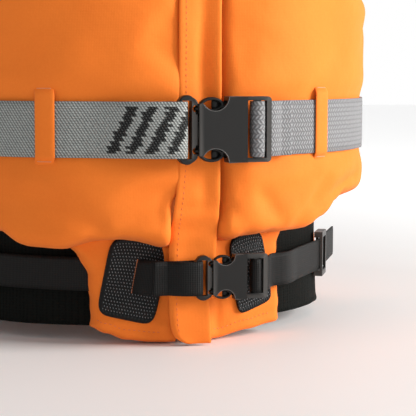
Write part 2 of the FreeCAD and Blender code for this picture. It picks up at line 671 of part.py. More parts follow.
def buckle_female(prefix):
    """The socket: a flat housing with finger notches and a two-slot frame for the webbing."""
    body = new_body(prefix + "_buckle_female")
    half = cell(prefix, "half_height")
    blank = sketch_on(body, "XZ_Plane", prefix + "_housing_outline")
    box_outline(blank, "0", cell(prefix, "housing"), "-" + half, half)
    housing = both_ways(body, "Pad", blank, prefix + "_housing_pad", cell(prefix, "depth"))
    frame = sketch_on(body, "XZ_Plane", prefix + "_frame_outline")
    box_outline(frame, cell(prefix, "housing") + " - 1", cell(prefix, "length"), "-" + half, half)
    rear = both_ways(body, "Pad", frame, prefix + "_frame_pad", cell(prefix, "frame_depth"))
    long = size(prefix + "_length")

    def outer_corner(edge):
        return runs_along_y(edge) and (edge.BoundBox.XMin > long - 0.1
                                       or edge.BoundBox.XMin < 0.1)
    soften(body, rear, prefix + "_corner_round", cell(prefix, "round"), outer_corner)
    notch = sketch_on(body, "XZ_Plane", prefix + "_notch_outline")
    for tag, sign in (("upper", ""), ("under", "-")):
        disc(notch, cell(prefix, "notch_x"), sign + half, cell(prefix, "notch_radius"), tag)
    both_ways(body, "Pocket", notch, prefix + "_finger_notches", cell(prefix, "depth") + " * 2")
    slots = sketch_on(body, "XZ_Plane", prefix + "_slot_outlines")
    slot = cell(prefix, "slot_half")
    box_outline(slots, cell(prefix, "housing") + " + 0.5", cell(prefix, "slot_end"),
                "-" + slot, slot, "a")
    box_outline(slots, cell(prefix, "bar_end"), cell(prefix, "slot_two_end"),
                "-" + slot, slot, "z")
    cut = both_ways(body, "Pocket", slots, prefix + "_slots", cell(prefix, "depth") + " * 2")
    deep = size(prefix + "_depth") / 2

    def rim(edge):
        box = edge.BoundBox
        flat = box.YLength < 0.01 and abs(abs(box.YMin) - deep) < 0.01
        return flat and box.XMax < size(prefix + "_housing") - 0.5
    soften(body, cut, prefix + "_rim_round", cell(prefix, "soft"), rim)
    horns = sketch_on(body, "XZ_Plane", prefix + "_horn_outlines")
    horn = "%s - %s * 0.87" % (cell(prefix, "notch_x"), cell(prefix, "notch_radius"))
    foot = "%s - %s * 0.5" % (half, cell(prefix, "notch_radius"))
    box_outline(horns, "-1", horn, foot, half + " + 1", "upper")
    box_outline(horns, "-1", horn, "-%s - 1" % half, "-(%s)" % foot, "under")
    both_ways(body, "Pocket", horns, prefix + "_mouth_corners", cell(prefix, "depth") + " * 2")
    cavity = sketch_on(body, "XZ_Plane", prefix + "_cavity_outline")
    mouth, wide = cell(prefix, "mouth_half"), cell(prefix, "cavity_half")
    post, floor = cell(prefix, "post"), cell(prefix, "housing") + " - 1.5"
    outline(cavity, [("-1", "-" + mouth), (post, "-" + mouth), (post, "-" + wide),
                     (floor, "-" + wide), (floor, wide), (post, wide), (post, mouth),
                     ("-1", mouth)])
    both_ways(body, "Pocket", cavity, prefix + "_cavity_cut", cell(prefix, "cavity"))
    place_buckle(body, prefix)


def buckle_male(prefix):
    """The plug: a webbing ring with a stiff middle tongue and seats for the two prongs."""
    body = new_body(prefix + "_buckle_male")
    half = cell(prefix, "ring_half")
    ring = sketch_on(body, "XZ_Plane", prefix + "_ring_outline")
    long = cell(prefix, "ring_length")
    shoulder = [("-" + long, "%s * 0.66" % half), ("-%s * 0.72" % long, "%s * 0.95" % half),
                ("-%s * 0.42" % long, half), ("-0.3", "%s * 0.82" % half)]
    outline(ring, shoulder + [(across, "-" + up) for across, up in shoulder[::-1]])
    blank = both_ways(body, "Pad", ring, prefix + "_ring_pad", cell(prefix, "ring_depth"))
    rounded = soften(body, blank, prefix + "_ring_round", cell(prefix, "ring_bar"), runs_along_y)
    deep = size(prefix + "_ring_depth") / 2

    def rim(edge):
        box = edge.BoundBox
        return box.YLength < 0.01 and abs(abs(box.YMin) - deep) < 0.01
    soften(body, rounded, prefix + "_ring_rim", cell(prefix, "soft"), rim)
    slot = sketch_on(body, "XZ_Plane", prefix + "_ring_slot_outline")
    hole = cell(prefix, "slot_half")
    bar = cell(prefix, "ring_bar")
    box_outline(slot, "-%s + %s" % (cell(prefix, "ring_length"), bar), "-" + bar,
                "-" + hole, hole)
    both_ways(body, "Pocket", slot, prefix + "_ring_slot", cell(prefix, "depth") + " * 2")
    tongue = sketch_on(body, "XZ_Plane", prefix + "_tongue_outline")
    thin = cell(prefix, "tongue_half")
    outline(tongue, [("-1", "-" + thin), (cell(prefix, "tongue") + " - 3", "-" + thin),
                     (cell(prefix, "tongue"), "-%s + 2" % thin),
                     (cell(prefix, "tongue"), thin + " - 2"),
                     (cell(prefix, "tongue") + " - 3", thin), ("-1", thin)])
    both_ways(body, "Pad", tongue, prefix + "_tongue_pad", cell(prefix, "cavity") + " - 1.6")
    seats = sketch_on(body, "XZ_Plane", prefix + "_seat_outlines")
    slack = "Sizes.pivot_clearance"
    reach = "%s + %s" % (cell(prefix, "knuckle"), slack)
    inner = "%s - %s * 1.9" % (cell(prefix, "pivot_z"), cell(prefix, "knuckle"))
    outer = "%s + %s + %s" % (cell(prefix, "pivot_z"), cell(prefix, "arm_half"), slack)
    box_outline(seats, cell(prefix, "pivot_x"), "1", inner, outer, "p")
    box_outline(seats, cell(prefix, "pivot_x"), "1", "-(%s)" % outer, "-(%s)" % inner, "q")
    both_ways(body, "Pocket", seats, prefix + "_arm_gaps", cell(prefix, "ring_depth") + " * 2")
    eyes = sketch_on(body, "XZ_Plane", prefix + "_eye_outlines")
    disc(eyes, cell(prefix, "pivot_x"), cell(prefix, "pivot_z"), reach, "upper")
    disc(eyes, cell(prefix, "pivot_x"), "-" + cell(prefix, "pivot_z"), reach, "under")
    both_ways(body, "Pocket", eyes, prefix + "_eyes", cell(prefix, "ring_depth") + " * 2")
    place_buckle(body, prefix)


def buckle_prong(prefix, side, turned):
    """A springy arm with a bowed head that the finger notch leaves in reach."""
    body = new_body("%s_buckle_prong_%s" % (prefix, side))
    pivot_x, pivot_z = cell(prefix, "pivot_x"), cell(prefix, "pivot_z")
    arm = cell(prefix, "arm_half")
    low, high = "%s - %s" % (pivot_z, arm), "%s + %s" % (pivot_z, arm)
    notch, radius = cell(prefix, "notch_x"), cell(prefix, "notch_radius")
    bow = "%s - %s * 0.15" % (cell(prefix, "half_height"), radius)
    catch = "%s + %s * 0.4" % (cell(prefix, "post"), "Sizes.pivot_clearance * 5")
    tip = "%s + %s * 1.3" % (notch, radius)
    arm_line = sketch_on(body, "XZ_Plane", body.Label + "_arm_outline")
    outline(arm_line, [
        (pivot_x, low), ("%s + %s * 0.7" % (notch, radius), low),
        (tip, "%s + 0.5" % pivot_z), (tip, "%s + %s + 0.6" % (pivot_z, arm)),
        ("%s + %s * 1.05" % (notch, radius), cell(prefix, "cavity_half") + " - 0.7"),
        ("%s + %s * 0.45" % (notch, radius), bow + " - 0.3"), (notch, bow),
        ("%s - %s * 0.45" % (notch, radius), bow + " - 1.6"), (catch, high + " + 1.6"),
        (catch, high), (pivot_x, high)])
    both_ways(body, "Pad", arm_line, body.Label + "_arm", cell(prefix, "prong_depth"))
    eye = sketch_on(body, "XZ_Plane", body.Label + "_knuckle_outline")
    disc(eye, pivot_x, pivot_z, cell(prefix, "knuckle"))
    both_ways(body, "Pad", eye, body.Label + "_knuckle", cell(prefix, "prong_depth"))
    place_buckle(body, prefix, turned)


def zip_slider():
    """Two plates round the teeth, joined by a post above them, with a crown for the pull."""
    body = new_body("zip_slider")
    wide, tall = "Sizes.slider_half_width", "Sizes.slider_height"
    plan = sketch_on(body, "XZ_Plane", "slider_outline")
    outline(plan, [("-%s * 0.7" % wide, "0"), (wide + " * 0.7", "0"), (wide, tall + " * 0.4"),
                   (wide, tall), ("-" + wide, tall), ("-" + wide, tall + " * 0.4")])
    both_ways(body, "Pad", plan, "slider_block", "Sizes.slider_depth")
    channel = sketch_on(body, "XZ_Plane", "slider_channel_outline")
    hole = "Sizes.slider_channel_half_width"
    box_outline(channel, "-" + hole, hole, "-1", tall + " + 1")
    both_ways(body, "Pocket", channel, "slider_channel", "Sizes.slider_channel_depth")
    slits = sketch_on(body, "XZ_Plane", "slider_slit_outline")
    box_outline(slits, "-%s * 2" % wide, wide + " * 2", "-1", tall + " + 1")
    both_ways(body, "Pocket", slits, "slider_tape_slits", "Sizes.tape_slot")
    post = sketch_on(body, "XZ_Plane", "slider_post_outline")
    radius = "Sizes.slider_post_radius"
    disc(post, "0", "%s - %s - Sizes.slider_post_inset" % (tall, radius), radius)
    both_ways(body, "Pad", post, "slider_post", "Sizes.slider_depth - 1")
    crown = sketch_on(body, "YZ_Plane", "slider_crown_outline")
    face = "-Sizes.slider_depth / 2"
    far = "%s - Sizes.crown_reach" % face
    low, high = "Sizes.crown_foot", "(Sizes.crown_foot + Sizes.crown_height)"
    wall = "Sizes.crown_wall"
    box_outline(crown, far, face + " + 0.3", low, high)
    both_ways(body, "Pad", crown, "slider_crown", "Sizes.crown_width")
    window = sketch_on(body, "YZ_Plane", "slider_window_outline")
    box_outline(window, "%s + %s" % (far, wall), face, "%s + %s" % (low, wall),
                "%s - %s" % (high, wall))
    both_ways(body, "Pocket", window, "slider_window", "Sizes.crown_width * 2")
    body.Placement = Placement(Vector(0, size("centring_shift") - size("zip_plane"),
                                      slider_base()), Rotation())


def slider_base():
    """Height of the slider's foot when the zip is closed."""
    return size("zip_top") - size("slider_height")


def pull_centre():
    """The pull's hinge: the middle of the crown's window."""
    y = (size("centring_shift") - size("zip_plane") - size("slider_depth") / 2
         - (size("crown_reach") - size("crown_wall")) / 2)
    z = slider_base() + size("crown_foot") + size("crown_height") / 2
    return Vector(0, y, z)


def zip_pull():
    """A tab hung on a cross bar through the crown."""
    body = new_body("zip_pull")
    arm, reach = "Sizes.pull_arm_length", "Sizes.pull_bar_reach"
    thick = "Sizes.pull_thickness"
    bar = sketch_on(body, "YZ_Plane", "pull_bar_outline")
    disc(bar, "0", "0", "Sizes.pull_bar_radius")
    both_ways(body, "Pad", bar, "pull_bar", "2 * (%s + Sizes.pull_arm_width)" % reach)
    arms = sketch_on(body, "XZ_Plane", "pull_arm_outlines")
    for tag, sign in (("r", "-"), ("l", "")):
        box_outline(arms, "%s%s" % (sign, reach), "%s(%s + Sizes.pull_arm_width)" % (sign, reach),
                    "-%s - 1" % arm, "0.3", tag)
    both_ways(body, "Pad", arms, "pull_arms", thick)
    tab = sketch_on(body, "XZ_Plane", "pull_tab_outline")
    wide = "Sizes.pull_half_width"
    end = "-Sizes.pull_length"
    outline(tab, [("-%s * 0.8" % wide, "-" + arm), ("-" + wide, end + " + 3"),
                  ("-%s * 0.6" % wide, end), (wide + " * 0.6", end), (wide, end + " + 3"),
                  (wide + " * 0.8", "-" + arm)])
    both_ways(body, "Pad", tab, "pull_tab", thick)
    body.Placement = Placement(pull_centre(), Rotation())


def adjuster_box(name, sizes, corner):
    """A block whose size and place are bound to the sheet."""
    block = doc.addObject("Part::Box", name)
    for side, expression in zip(("Length", "Width", "Height"), sizes):
        block.setExpression(side, expression)
    for axis, expression in zip("xyz", corner):
        block.setExpression("Placement.Base." + axis, expression)
    return block


def belt_adjuster(side):
    """A slide on the lower belt: end bars in front of the webbing, the middle bar behind."""
    half, slot = "Sizes.adjuster_half_length", "Sizes.adjuster_slot_half"
    rail, bar = "Sizes.adjuster_rail", "Sizes.adjuster_bar"
    deep = "Sizes.adjuster_bar_depth"
    gap = "(Sizes.webbing / 2 + Sizes.adjuster_gap)"
    name = "adjuster_%s_" % side
    blocks = []
    whole = "2 * (%s + %s)" % (gap, deep)
    for tag, foot in (("top_rail", slot), ("low_rail", "-%s - %s" % (slot, rail))):
        blocks.append(adjuster_box(name + tag, (half + " * 2", whole, rail),
                                   ("-" + half, "-%s - %s" % (gap, deep), foot)))
    span = "2 * %s + 1" % slot
    for tag, start in (("front_bar", "-" + half), ("rear_bar", "%s - %s" % (half, bar))):
        blocks.append(adjuster_box(name + tag, (bar, deep, span),
                                   (start, "-%s - %s" % (gap, deep), "-%s - 0.5" % slot)))
    blocks.append(adjuster_box(name + "middle_bar", (bar, deep, span),
                               ("-%s / 2" % bar, gap, "-%s - 0.5" % slot)))
    joined = doc.addObject("Part::MultiFuse", "lower_belt_adjuster_" + side)
    joined.Label = "lower_belt_adjuster_" + side
    joined.Shapes = blocks
    joined.Refine = True
    pieces.append(joined)
    start, direction = straight_run()
    spot = start + direction * size("adjuster_at")
    heading = math.degrees(math.atan2(direction.y, direction.x))
    if side == "right":
        spot.x = -spot.x
        heading = -heading
    joined.Placement = Placement(Vector(spot.x, spot.y + size("centring_shift"),
                                        size("lower_belt_level")),
                                 Rotation(Vector(0, 0, 1), heading))


def straight_run():
    """Where the lower belt leaves the left side, and the way it then goes."""
    beside = size("side_panel_outside") + size("webbing") / 2 + size("belt_off_panel")
    start = on_ellipse("belly", beside, beside, size("belt_tangent_angle"))
    end = Vector(size("belt_end_x"), size("belt_end_y"), 0)
    return start, (end - start).normalize()


# ---------------------------------------------------------------- the jacket

panel_set("front", front_outline(), size("front_thickness"), -size("outside"),
          size("front_side_y"), True)
panel_set("back", back_outline(), size("back_thickness"), size("back_side_y"),
          size("outside"), False)
shoulders_and_yoke()
skirts_and_sides()
zip_parts()
belts()
belt_loops()
belt_patches()
collar()
for buckle in ("waist", "lower"):
    buckle_female(buckle)
    buckle_male(buckle)
    buckle_prong(buckle, "upper", False)
    buckle_prong(buckle, "under", True)
zip_slider()
zip_pull()
for wearer_side in ("left", "right"):
    belt_adjuster(wearer_side)
doc.recompute()

for item in doc.Objects:
    if "Invalid" in item.State or "Error" in item.State:
        raise RuntimeError("%s failed: %s" % (item.Label, item.State))
os.makedirs("parts", exist_ok=True)
whole_box = FreeCAD.BoundBox()
for piece in pieces:
    solid = piece.Shape
    if solid.isNull() or not solid.isValid() or not solid.Solids:
        raise RuntimeError("%s has no sound solid" % piece.Label)
    solid.exportStep("parts/%s.step" % piece.Label)
    whole_box.add(solid.BoundBox)
    print("%-28s %2d solid %8.1f cm3" % (piece.Label, len(solid.Solids), solid.Volume / 1000))
print("box", whole_box)
run_start, run_way = straight_run()
print("adjuster way", run_way, "pull centre", pull_centre())
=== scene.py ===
"""The looks of the life jacket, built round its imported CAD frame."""
import math

import bpy
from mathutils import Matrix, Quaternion, Vector, noise


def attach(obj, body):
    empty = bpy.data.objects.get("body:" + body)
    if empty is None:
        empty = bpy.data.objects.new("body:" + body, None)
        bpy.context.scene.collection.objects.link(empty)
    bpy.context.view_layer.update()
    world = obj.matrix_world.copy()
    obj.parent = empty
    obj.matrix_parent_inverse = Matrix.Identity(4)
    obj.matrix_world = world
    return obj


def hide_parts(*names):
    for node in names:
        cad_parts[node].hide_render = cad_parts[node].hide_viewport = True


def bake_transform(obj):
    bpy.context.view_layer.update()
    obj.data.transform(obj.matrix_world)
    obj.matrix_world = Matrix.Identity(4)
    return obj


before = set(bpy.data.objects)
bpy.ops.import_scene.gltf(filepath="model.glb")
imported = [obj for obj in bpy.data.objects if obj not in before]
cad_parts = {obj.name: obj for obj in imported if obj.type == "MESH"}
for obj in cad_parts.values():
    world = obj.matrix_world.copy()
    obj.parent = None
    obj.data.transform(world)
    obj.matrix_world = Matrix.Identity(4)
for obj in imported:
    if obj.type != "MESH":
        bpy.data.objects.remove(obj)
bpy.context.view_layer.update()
MM = 0.001
SIDES = ((1, "left"), (-1, "right"))

# ---------------------------------------------------------------- the jacket's form

# height, half width and half depth of the torso inside the jacket
LEVELS = ((0, 152, 112), (60, 149, 112), (120, 149, 112), (200, 150, 112),
          (280, 157, 115), (365, 166, 119), (455, 171, 121))
FRONT_LINE = 112
SHIFT = 5.5
# how thick the padding is, and how much cloth a radian round the torso takes
SIDE, FRONT, BACK = 32, 44, 30
ROUND = 165
DOME_BASE, DOME_RISE, DOME_RISE_INSIDE = 455, 90, 72
BACK_BOTTOM = 25
YOKE_SPLIT = 40 + SHIFT
NECK = (62, 85, SHIFT - 10)
WAIST_BELT, LOWER_BELT = 160, 51.5


def ramp(points, x, ease=lambda part: part):
    """A line through (x, y) points, level beyond its ends."""
    if x <= points[0][0]:
        return points[0][1]
    for (x0, y0), (x1, y1) in zip(points, points[1:]):
        if x <= x1:
            return y0 + (y1 - y0) * ease((x - x0) / (x1 - x0))
    return points[-1][1]


def soft_ramp(points, x):
    """The same, eased between the points."""
    return ramp(points, x, lambda part: part * part * (3 - 2 * part))


def torso_half(z):
    """Half width, half depth and centre of the torso at a height."""
    wide = ramp([(level, a) for level, a, _ in LEVELS], z)
    deep = ramp([(level, b) for level, _, b in LEVELS], z)
    return wide, deep, deep - FRONT_LINE + SHIFT


def around(angle, z, side, depth):
    """A point on the torso grown by side and depth; the angle runs from the front to the left."""
    wide, deep, centre = torso_half(z)
    return Vector(((wide + side) * math.sin(angle), centre - (deep + depth) * math.cos(angle), z))


def at_x(x, z, side, depth, behind=False):
    """The same, found from x."""
    wide = torso_half(z)[0] + side
    angle = math.asin(max(-1, min(1, x / wide)))
    return around(math.pi - angle if behind else angle, z, side, depth)


def fall(distance, radius, edge, power=2.3):
    """How thick padding is at a distance from its sewn edge: edge at the seam, 1 past the radius."""
    part = min(1, max(0, distance / radius))
    return edge + (1 - edge) * (1 - (1 - part) ** power) ** (1 / power)


def rounded(turn, power):
    """An angle's cosine and sine, pushed out towards a square."""
    return [math.copysign(abs(way) ** power, way) for way in (math.cos(turn), math.sin(turn))]


# ---------------------------------------------------------------- mesh helpers

def mesh_piece(name, verts, faces, material, uvs=None):
    """A smooth piece from points; uvs are per point."""
    mesh = bpy.data.meshes.new(name)
    mesh.from_pydata([Vector(v) * MM for v in verts], [], faces)
    if uvs:
        layer = mesh.uv_layers.new(name="UVMap")
        for loop in mesh.loops:
            layer.data[loop.index].uv = [part * MM for part in uvs[loop.vertex_index]]
    mesh.materials.append(material)
    for polygon in mesh.polygons:
        polygon.use_smooth = True
    obj = bpy.data.objects.new(name, mesh)
    bpy.context.scene.collection.objects.link(obj)
    return obj


def grids(rows, columns, spot):
    """Three grids from spot(up, across), which gives an outer point, an inner point and a uv."""
    cells = [[spot(v, s) for s in columns] for v in share(rows)]
    return [[[cell[part] for cell in row] for row in cells] for part in range(3)]


def shell(name, material, outer, inner, uvs):
    """A closed piece between two grids of points."""
    rows, cols = len(outer), len(outer[0])
    verts = [p for face in (outer, inner) for row in face for p in row]
    base, top = rows * cols, (rows - 1) * cols
    faces = []
    for r in range(rows - 1):
        for a in range(r * cols, r * cols + cols - 1):
            faces.append((a, a + 1, a + 1 + cols, a + cols))
            faces.append((base + a, base + a + cols, base + a + 1 + cols, base + a + 1))
    for c in range(cols - 1):
        faces.append((c, base + c, base + c + 1, c + 1))
        faces.append((top + c, top + c + 1, base + top + c + 1, base + top + c))
    for r in range(rows - 1):
        a, b = r * cols, (r + 1) * cols
        faces.append((a, b, base + b, base + a))
        a, b = a + cols - 1, b + cols - 1
        faces.append((a, base + a, base + b, b))
    return mesh_piece(name, verts, faces, material, [uv for row in uvs for uv in row] * 2)


def tube(name, rings, material, uvs=None):
    """A closed piece through rings of points, with flat ends."""
    count = len(rings[0])
    verts = [p for ring in rings for p in ring]
    faces = []
    for r in range(len(rings) - 1):
        for c in range(count):
            d = (c + 1) % count
            faces.append((r * count + c, r * count + d, (r + 1) * count + d, (r + 1) * count + c))
    faces.append(tuple(range(count))[::-1])
    faces.append(tuple((len(rings) - 1) * count + c for c in range(count)))
    return mesh_piece(name, verts, faces, material, uvs)


def settle(piece, slot, *nodes, body="jacket", fill=None):
    """Hides the nodes a piece replaces and puts the piece on its body. The slot and fill arguments
    are not used.
    """
    if nodes:
        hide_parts(*nodes)
    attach(piece, body)


def apply_modifiers(obj):
    """Makes what the modifiers show the piece's own mesh."""
    bpy.context.view_layer.update()
    depsgraph = bpy.context.evaluated_depsgraph_get()
    made = bpy.data.meshes.new_from_object(obj.evaluated_get(depsgraph))
    old = obj.data
    obj.modifiers.clear()
    obj.data = made
    bpy.data.meshes.remove(old)


def subdivide(obj):
    obj.modifiers.new("smooth", "SUBSURF").levels = 1
    apply_modifiers(obj)


def joined(name, objects):
    """Several meshes made into one piece."""
    with bpy.context.temp_override(active_object=objects[0], selected_editable_objects=objects,
                                   object=objects[0], selected_objects=objects):
        bpy.ops.object.join()
    objects[0].name = name
    objects[0].data.name = name
    return objects[0]


def share(count):
    """Even steps from 0 to 1."""
    return [step / (count - 1) for step in range(count)]


# ---------------------------------------------------------------- materials

class Finish:
    """Builds one node material."""

    def __init__(self, name, colour, roughness, metallic=0.0, sheen=0.0, specular=0.5):
        self.material = bpy.data.materials.new(name)
        self.material.use_nodes = True
        self.tree = self.material.node_tree
        self.shader = self.tree.nodes["Principled BSDF"]
        self.shader.inputs["Base Color"].default_value = (*colour, 1)
        self.shader.inputs["Roughness"].default_value = roughness
        self.shader.inputs["Metallic"].default_value = metallic
        self.shader.inputs["Specular IOR Level"].default_value = specular
        if sheen:
            self.shader.inputs["Sheen Weight"].default_value = sheen
            self.shader.inputs["Sheen Roughness"].default_value = 0.45
        self.bump_end = None

    def node(self, kind, **settings):
        made = self.tree.nodes.new(kind)
        for key, value in settings.items():
            setattr(made, key, value)
        return made

    def link(self, start, end):
        self.tree.links.new(start, end)

    def place(self, uv=False):
        texture = self.node("ShaderNodeTexCoord")
        return texture.outputs["UV" if uv else "Object"]

    def math(self, operation, first, second=None, third=None, clamp=False):
        made = self.node("ShaderNodeMath", operation=operation, use_clamp=clamp)
        for socket, value in zip(made.inputs, (first, second, third)):
            if value is None:
                continue
            if isinstance(value, (int, float)):
                socket.default_value = value
            else:
                self.link(value, socket)
        return made.outputs[0]

    def noise(self, size, detail=2.0):
        """A noise whose features are about size metres."""
        made = self.node("ShaderNodeTexNoise")
        made.inputs["Scale"].default_value = 1 / size
        made.inputs["Detail"].default_value = detail
        self.link(self.place(), made.inputs["Vector"])
        return made.outputs["Fac"]

    def split(self, vector):
        made = self.node("ShaderNodeSeparateXYZ")
        self.link(vector, made.inputs[0])
        return made.outputs

    def mix(self, factor, first, second):
        """A colour between two; each is a colour or an output."""
        made = self.node("ShaderNodeMix", data_type="RGBA")
        made.clamp_factor = True
        self.link(factor, made.inputs[0])
        for socket, value in ((made.inputs[6], first), (made.inputs[7], second)):
            if isinstance(value, tuple):
                socket.default_value = (*value, 1)
            else:
                self.link(value, socket)
        return made.outputs[2]

    def colour(self, output):
        self.link(output, self.shader.inputs["Base Color"])

    def roughness(self, output):
        self.link(output, self.shader.inputs["Roughness"])

    def times(self, first, second):
        return self.math("MULTIPLY", first, second)

    def bump(self, height, distance, strength=1.0):
        made = self.node("ShaderNodeBump")
        made.inputs["Distance"].default_value = distance
        made.inputs["Strength"].default_value = strength
        self.link(height, made.inputs["Height"])
        if self.bump_end:
            self.link(self.bump_end, made.inputs["Normal"])
        self.bump_end = made.outputs[0]
        self.link(self.bump_end, self.shader.inputs["Normal"])

    def wave(self, coordinate, pitch, phase=0.0):
        """A cosine from 0 to 1 along a coordinate in metres."""
        turned = self.math("MULTIPLY_ADD", coordinate, 2 * math.pi / pitch, phase)
        return self.math("MULTIPLY_ADD", self.math("COSINE", turned), 0.5, 0.5)


def weave(finish, pitch, depth):
    """A plain weave over the surface."""
    across, along = finish.split(finish.place(True))[:2]
    height = finish.times(finish.wave(across, pitch), finish.wave(along, pitch, 1.3))
    finish.bump(height, depth, 0.8)


def orange_cloth(name="orange_fabric"):
    """Coated nylon: a fine weave, faint unevenness and a soft sheen."""
    made = Finish(name, (0.87, 0.2, 0.026), 0.7, sheen=0.04, specular=0.12)
    blotch = made.noise(0.05, 3.0)
    fine = made.noise(0.0016, 2.0)
    tone = made.math("MULTIPLY_ADD", fine, 0.35, made.times(blotch, 0.65))
    made.colour(made.mix(tone, (0.8, 0.165, 0.018), (0.93, 0.235, 0.03)))
    made.bump(made.noise(0.012, 3.0), 0.0009, 0.5)
    weave(made, 0.0011, 0.00006)
    return made.material


def black_cloth(name="black_lining"):
    made = Finish(name, (0.012, 0.013, 0.012), 0.8, sheen=0.06, specular=0.15)
    made.colour(made.mix(made.noise(0.03, 3.0), (0.008, 0.009, 0.008), (0.018, 0.019, 0.017)))
    weave(made, 0.0012, 0.0001)
    return made.material


def mesh_cloth(name="black_mesh"):
    """Knitted stretch mesh: small hexagonal pores."""
    made = Finish(name, (0.012, 0.013, 0.012), 0.75, sheen=0.012, specular=0.05)
    cells = made.node("ShaderNodeTexVoronoi")
    cells.inputs["Scale"].default_value = 1 / 0.0022
    cells.inputs["Randomness"].default_value = 0.25
    made.link(made.place(), cells.inputs["Vector"])
    pore = made.math("MULTIPLY", cells.outputs["Distance"], 1.6, clamp=True)
    made.colour(made.mix(pore, (0.0015, 0.0017, 0.0015), (0.007, 0.0075, 0.0065)))
    made.bump(pore, 0.0004, 0.7)
    made.bump(made.noise(0.02, 3.0), 0.0008, 0.4)
    return made.material


def knitted_rows(made, row, column, lean, alternate):
    """Rows of slanted yarns; height from 0 to 1. The rows may lean one way and then the other."""
    across, along = made.split(made.place(True))[:2]
    line = made.math("DIVIDE", along, row)
    number = made.math("FLOOR", line)
    inside = made.math("SUBTRACT", made.math("FRACT", line), 0.5)
    odd = made.times(made.math("FRACT", made.times(number, 0.5)), 2)
    way = made.math("MULTIPLY_ADD", odd, 2.0, -1.0) if alternate else -1.0
    slant = made.times(made.times(inside, way), lean)
    phase = made.math("ADD", made.math("DIVIDE", across, column),
                      made.math("MULTIPLY_ADD", odd, 0.5, slant))
    yarn = made.math("MULTIPLY_ADD",
                     made.math("COSINE", made.times(phase, 2 * math.pi)), 0.5, 0.5)
    rib = made.math("COSINE", made.times(inside, math.pi))
    return made.times(yarn, made.math("POWER", rib, 0.6)), number, phase


# the black bars' pitch, the first one's place and how far they lean
STRIPE_PITCH = 0.0142
STRIPE_FIRST = 0.0094
STRIPE_LEAN = 0.48


def grey_webbing(name, row, column, striped):
    """Grey knitted webbing; the striped one has broken black bars leaning to the buckle."""
    made = Finish(name, (0.42, 0.43, 0.42), 0.65, sheen=0.03, specular=0.2)
    height, number, phase = knitted_rows(made, row, column, 0.5 if striped else 0.75,
                                         not striped)
    light, dark = ((0.5, 0.52, 0.5), (0.04, 0.046, 0.044)) if striped else (
        (0.32, 0.32, 0.325), (0.1, 0.1, 0.105))
    tone = made.math("MULTIPLY_ADD", made.noise(0.0016, 2.0), 0.5, made.math("POWER", height, 0.9))
    yarn = made.mix(made.times(tone, 0.78), dark, light)
    if striped:
        stitch = made.math("FLOOR", made.math("ADD", phase, 0.5))
        spot = made.node("ShaderNodeCombineXYZ")
        made.link(stitch, spot.inputs[0])
        made.link(number, spot.inputs[1])
        chance = made.node("ShaderNodeTexWhiteNoise", noise_dimensions="2D")
        made.link(spot.outputs[0], chance.inputs["Vector"])
        lean = made.math("MULTIPLY_ADD", number, row * STRIPE_LEAN, -0.02 * STRIPE_LEAN)
        reach = made.math("MULTIPLY_ADD", stitch, column, lean)
        turn = made.math("DIVIDE", made.math("SUBTRACT", reach, STRIPE_FIRST), STRIPE_PITCH)
        off = made.math("ABSOLUTE", made.math("SUBTRACT",
                                              made.math("FRACT", made.math("ADD", turn, 0.5)), 0.5))
        ragged = made.math("MULTIPLY_ADD", chance.outputs["Value"], 0.12, 0.2)
        bar = made.math("LESS_THAN", off, ragged)
        rows = made.math("COMPARE", made.times(number, row), 0.0195, 0.0165)
        group = made.math("COMPARE", turn, 1.5, 2.0)
        inked = made.times(made.times(bar, rows), group)
        black = made.mix(made.math("POWER", height, 3.0), (0.004, 0.0045, 0.0045),
                         (0.1, 0.105, 0.1))
        yarn = made.mix(inked, yarn, black)
    made.colour(yarn)
    made.bump(height, 0.0005, 0.9)
    return made.material


def black_webbing(name="black_webbing"):
    """Nylon webbing with fine ribs across it."""
    made = Finish(name, (0.012, 0.012, 0.012), 0.5, sheen=0.01, specular=0.13)
    across, along = made.split(made.place(True))[:2]
    ribs = made.wave(across, 0.00125)
    lines = made.wave(along, 0.0016)
    height = made.math("MULTIPLY_ADD", lines, 0.3, made.times(ribs, 0.7))
    made.colour(made.mix(height, (0.0025, 0.0025, 0.0025), (0.015, 0.0146, 0.014)))
    made.bump(height, 0.0003, 0.8)
    return made.material


def moulded(name="black_acetal"):
    """Moulded plastic: a satin skin with a very fine grain, and a painted highlight: its sharp edges
    are coloured lighter.
    """
    made = Finish(name, (0.007, 0.0068, 0.0065), 0.36, specular=0.22)
    made.roughness(made.math("MULTIPLY_ADD", made.noise(0.006, 3.0), 0.14, 0.3))
    geometry = made.node("ShaderNodeNewGeometry")
    # painted highlight: where the mesh is sharp (high pointiness) the colour is made lighter
    edge_highlight = made.math("MULTIPLY_ADD", geometry.outputs["Pointiness"], 9.0, -4.75, clamp=True)
    made.colour(made.mix(edge_highlight, (0.013, 0.0125, 0.012), (0.09, 0.085, 0.08)))
    made.bump(made.noise(0.0006, 2.0), 0.00004, 0.5)
    return made.material


def metal(name="slider_metal"):
    made = Finish(name, (0.36, 0.36, 0.37), 0.32, metallic=1.0)
    made.roughness(made.math("MULTIPLY_ADD", made.noise(0.003, 3.0), 0.2, 0.22))
    return made.material


def tape_cloth(name="zip_tape"):
    made = Finish(name, (0.9, 0.25, 0.03), 0.7, sheen=0.2)
    across, along = made.split(made.place(True))[:2]
    made.colour(made.mix(made.wave(across, 0.0012), (0.72, 0.17, 0.02), (0.95, 0.3, 0.05)))
    made.bump(made.wave(along, 0.0012), 0.0002, 0.7)
    return made.material


ORANGE = orange_cloth()
LINING = black_cloth()
MESH = mesh_cloth()
WEB_STRIPED = grey_webbing("grey_webbing_striped", 0.00174, 0.0023, True)
WEB_PLAIN = grey_webbing("grey_webbing", 0.00335, 0.0026, False)
WEB_BLACK = black_webbing()
ACETAL = moulded()
METAL = metal()
TAPE = tape_cloth()

# ---------------------------------------------------------------- padded panels

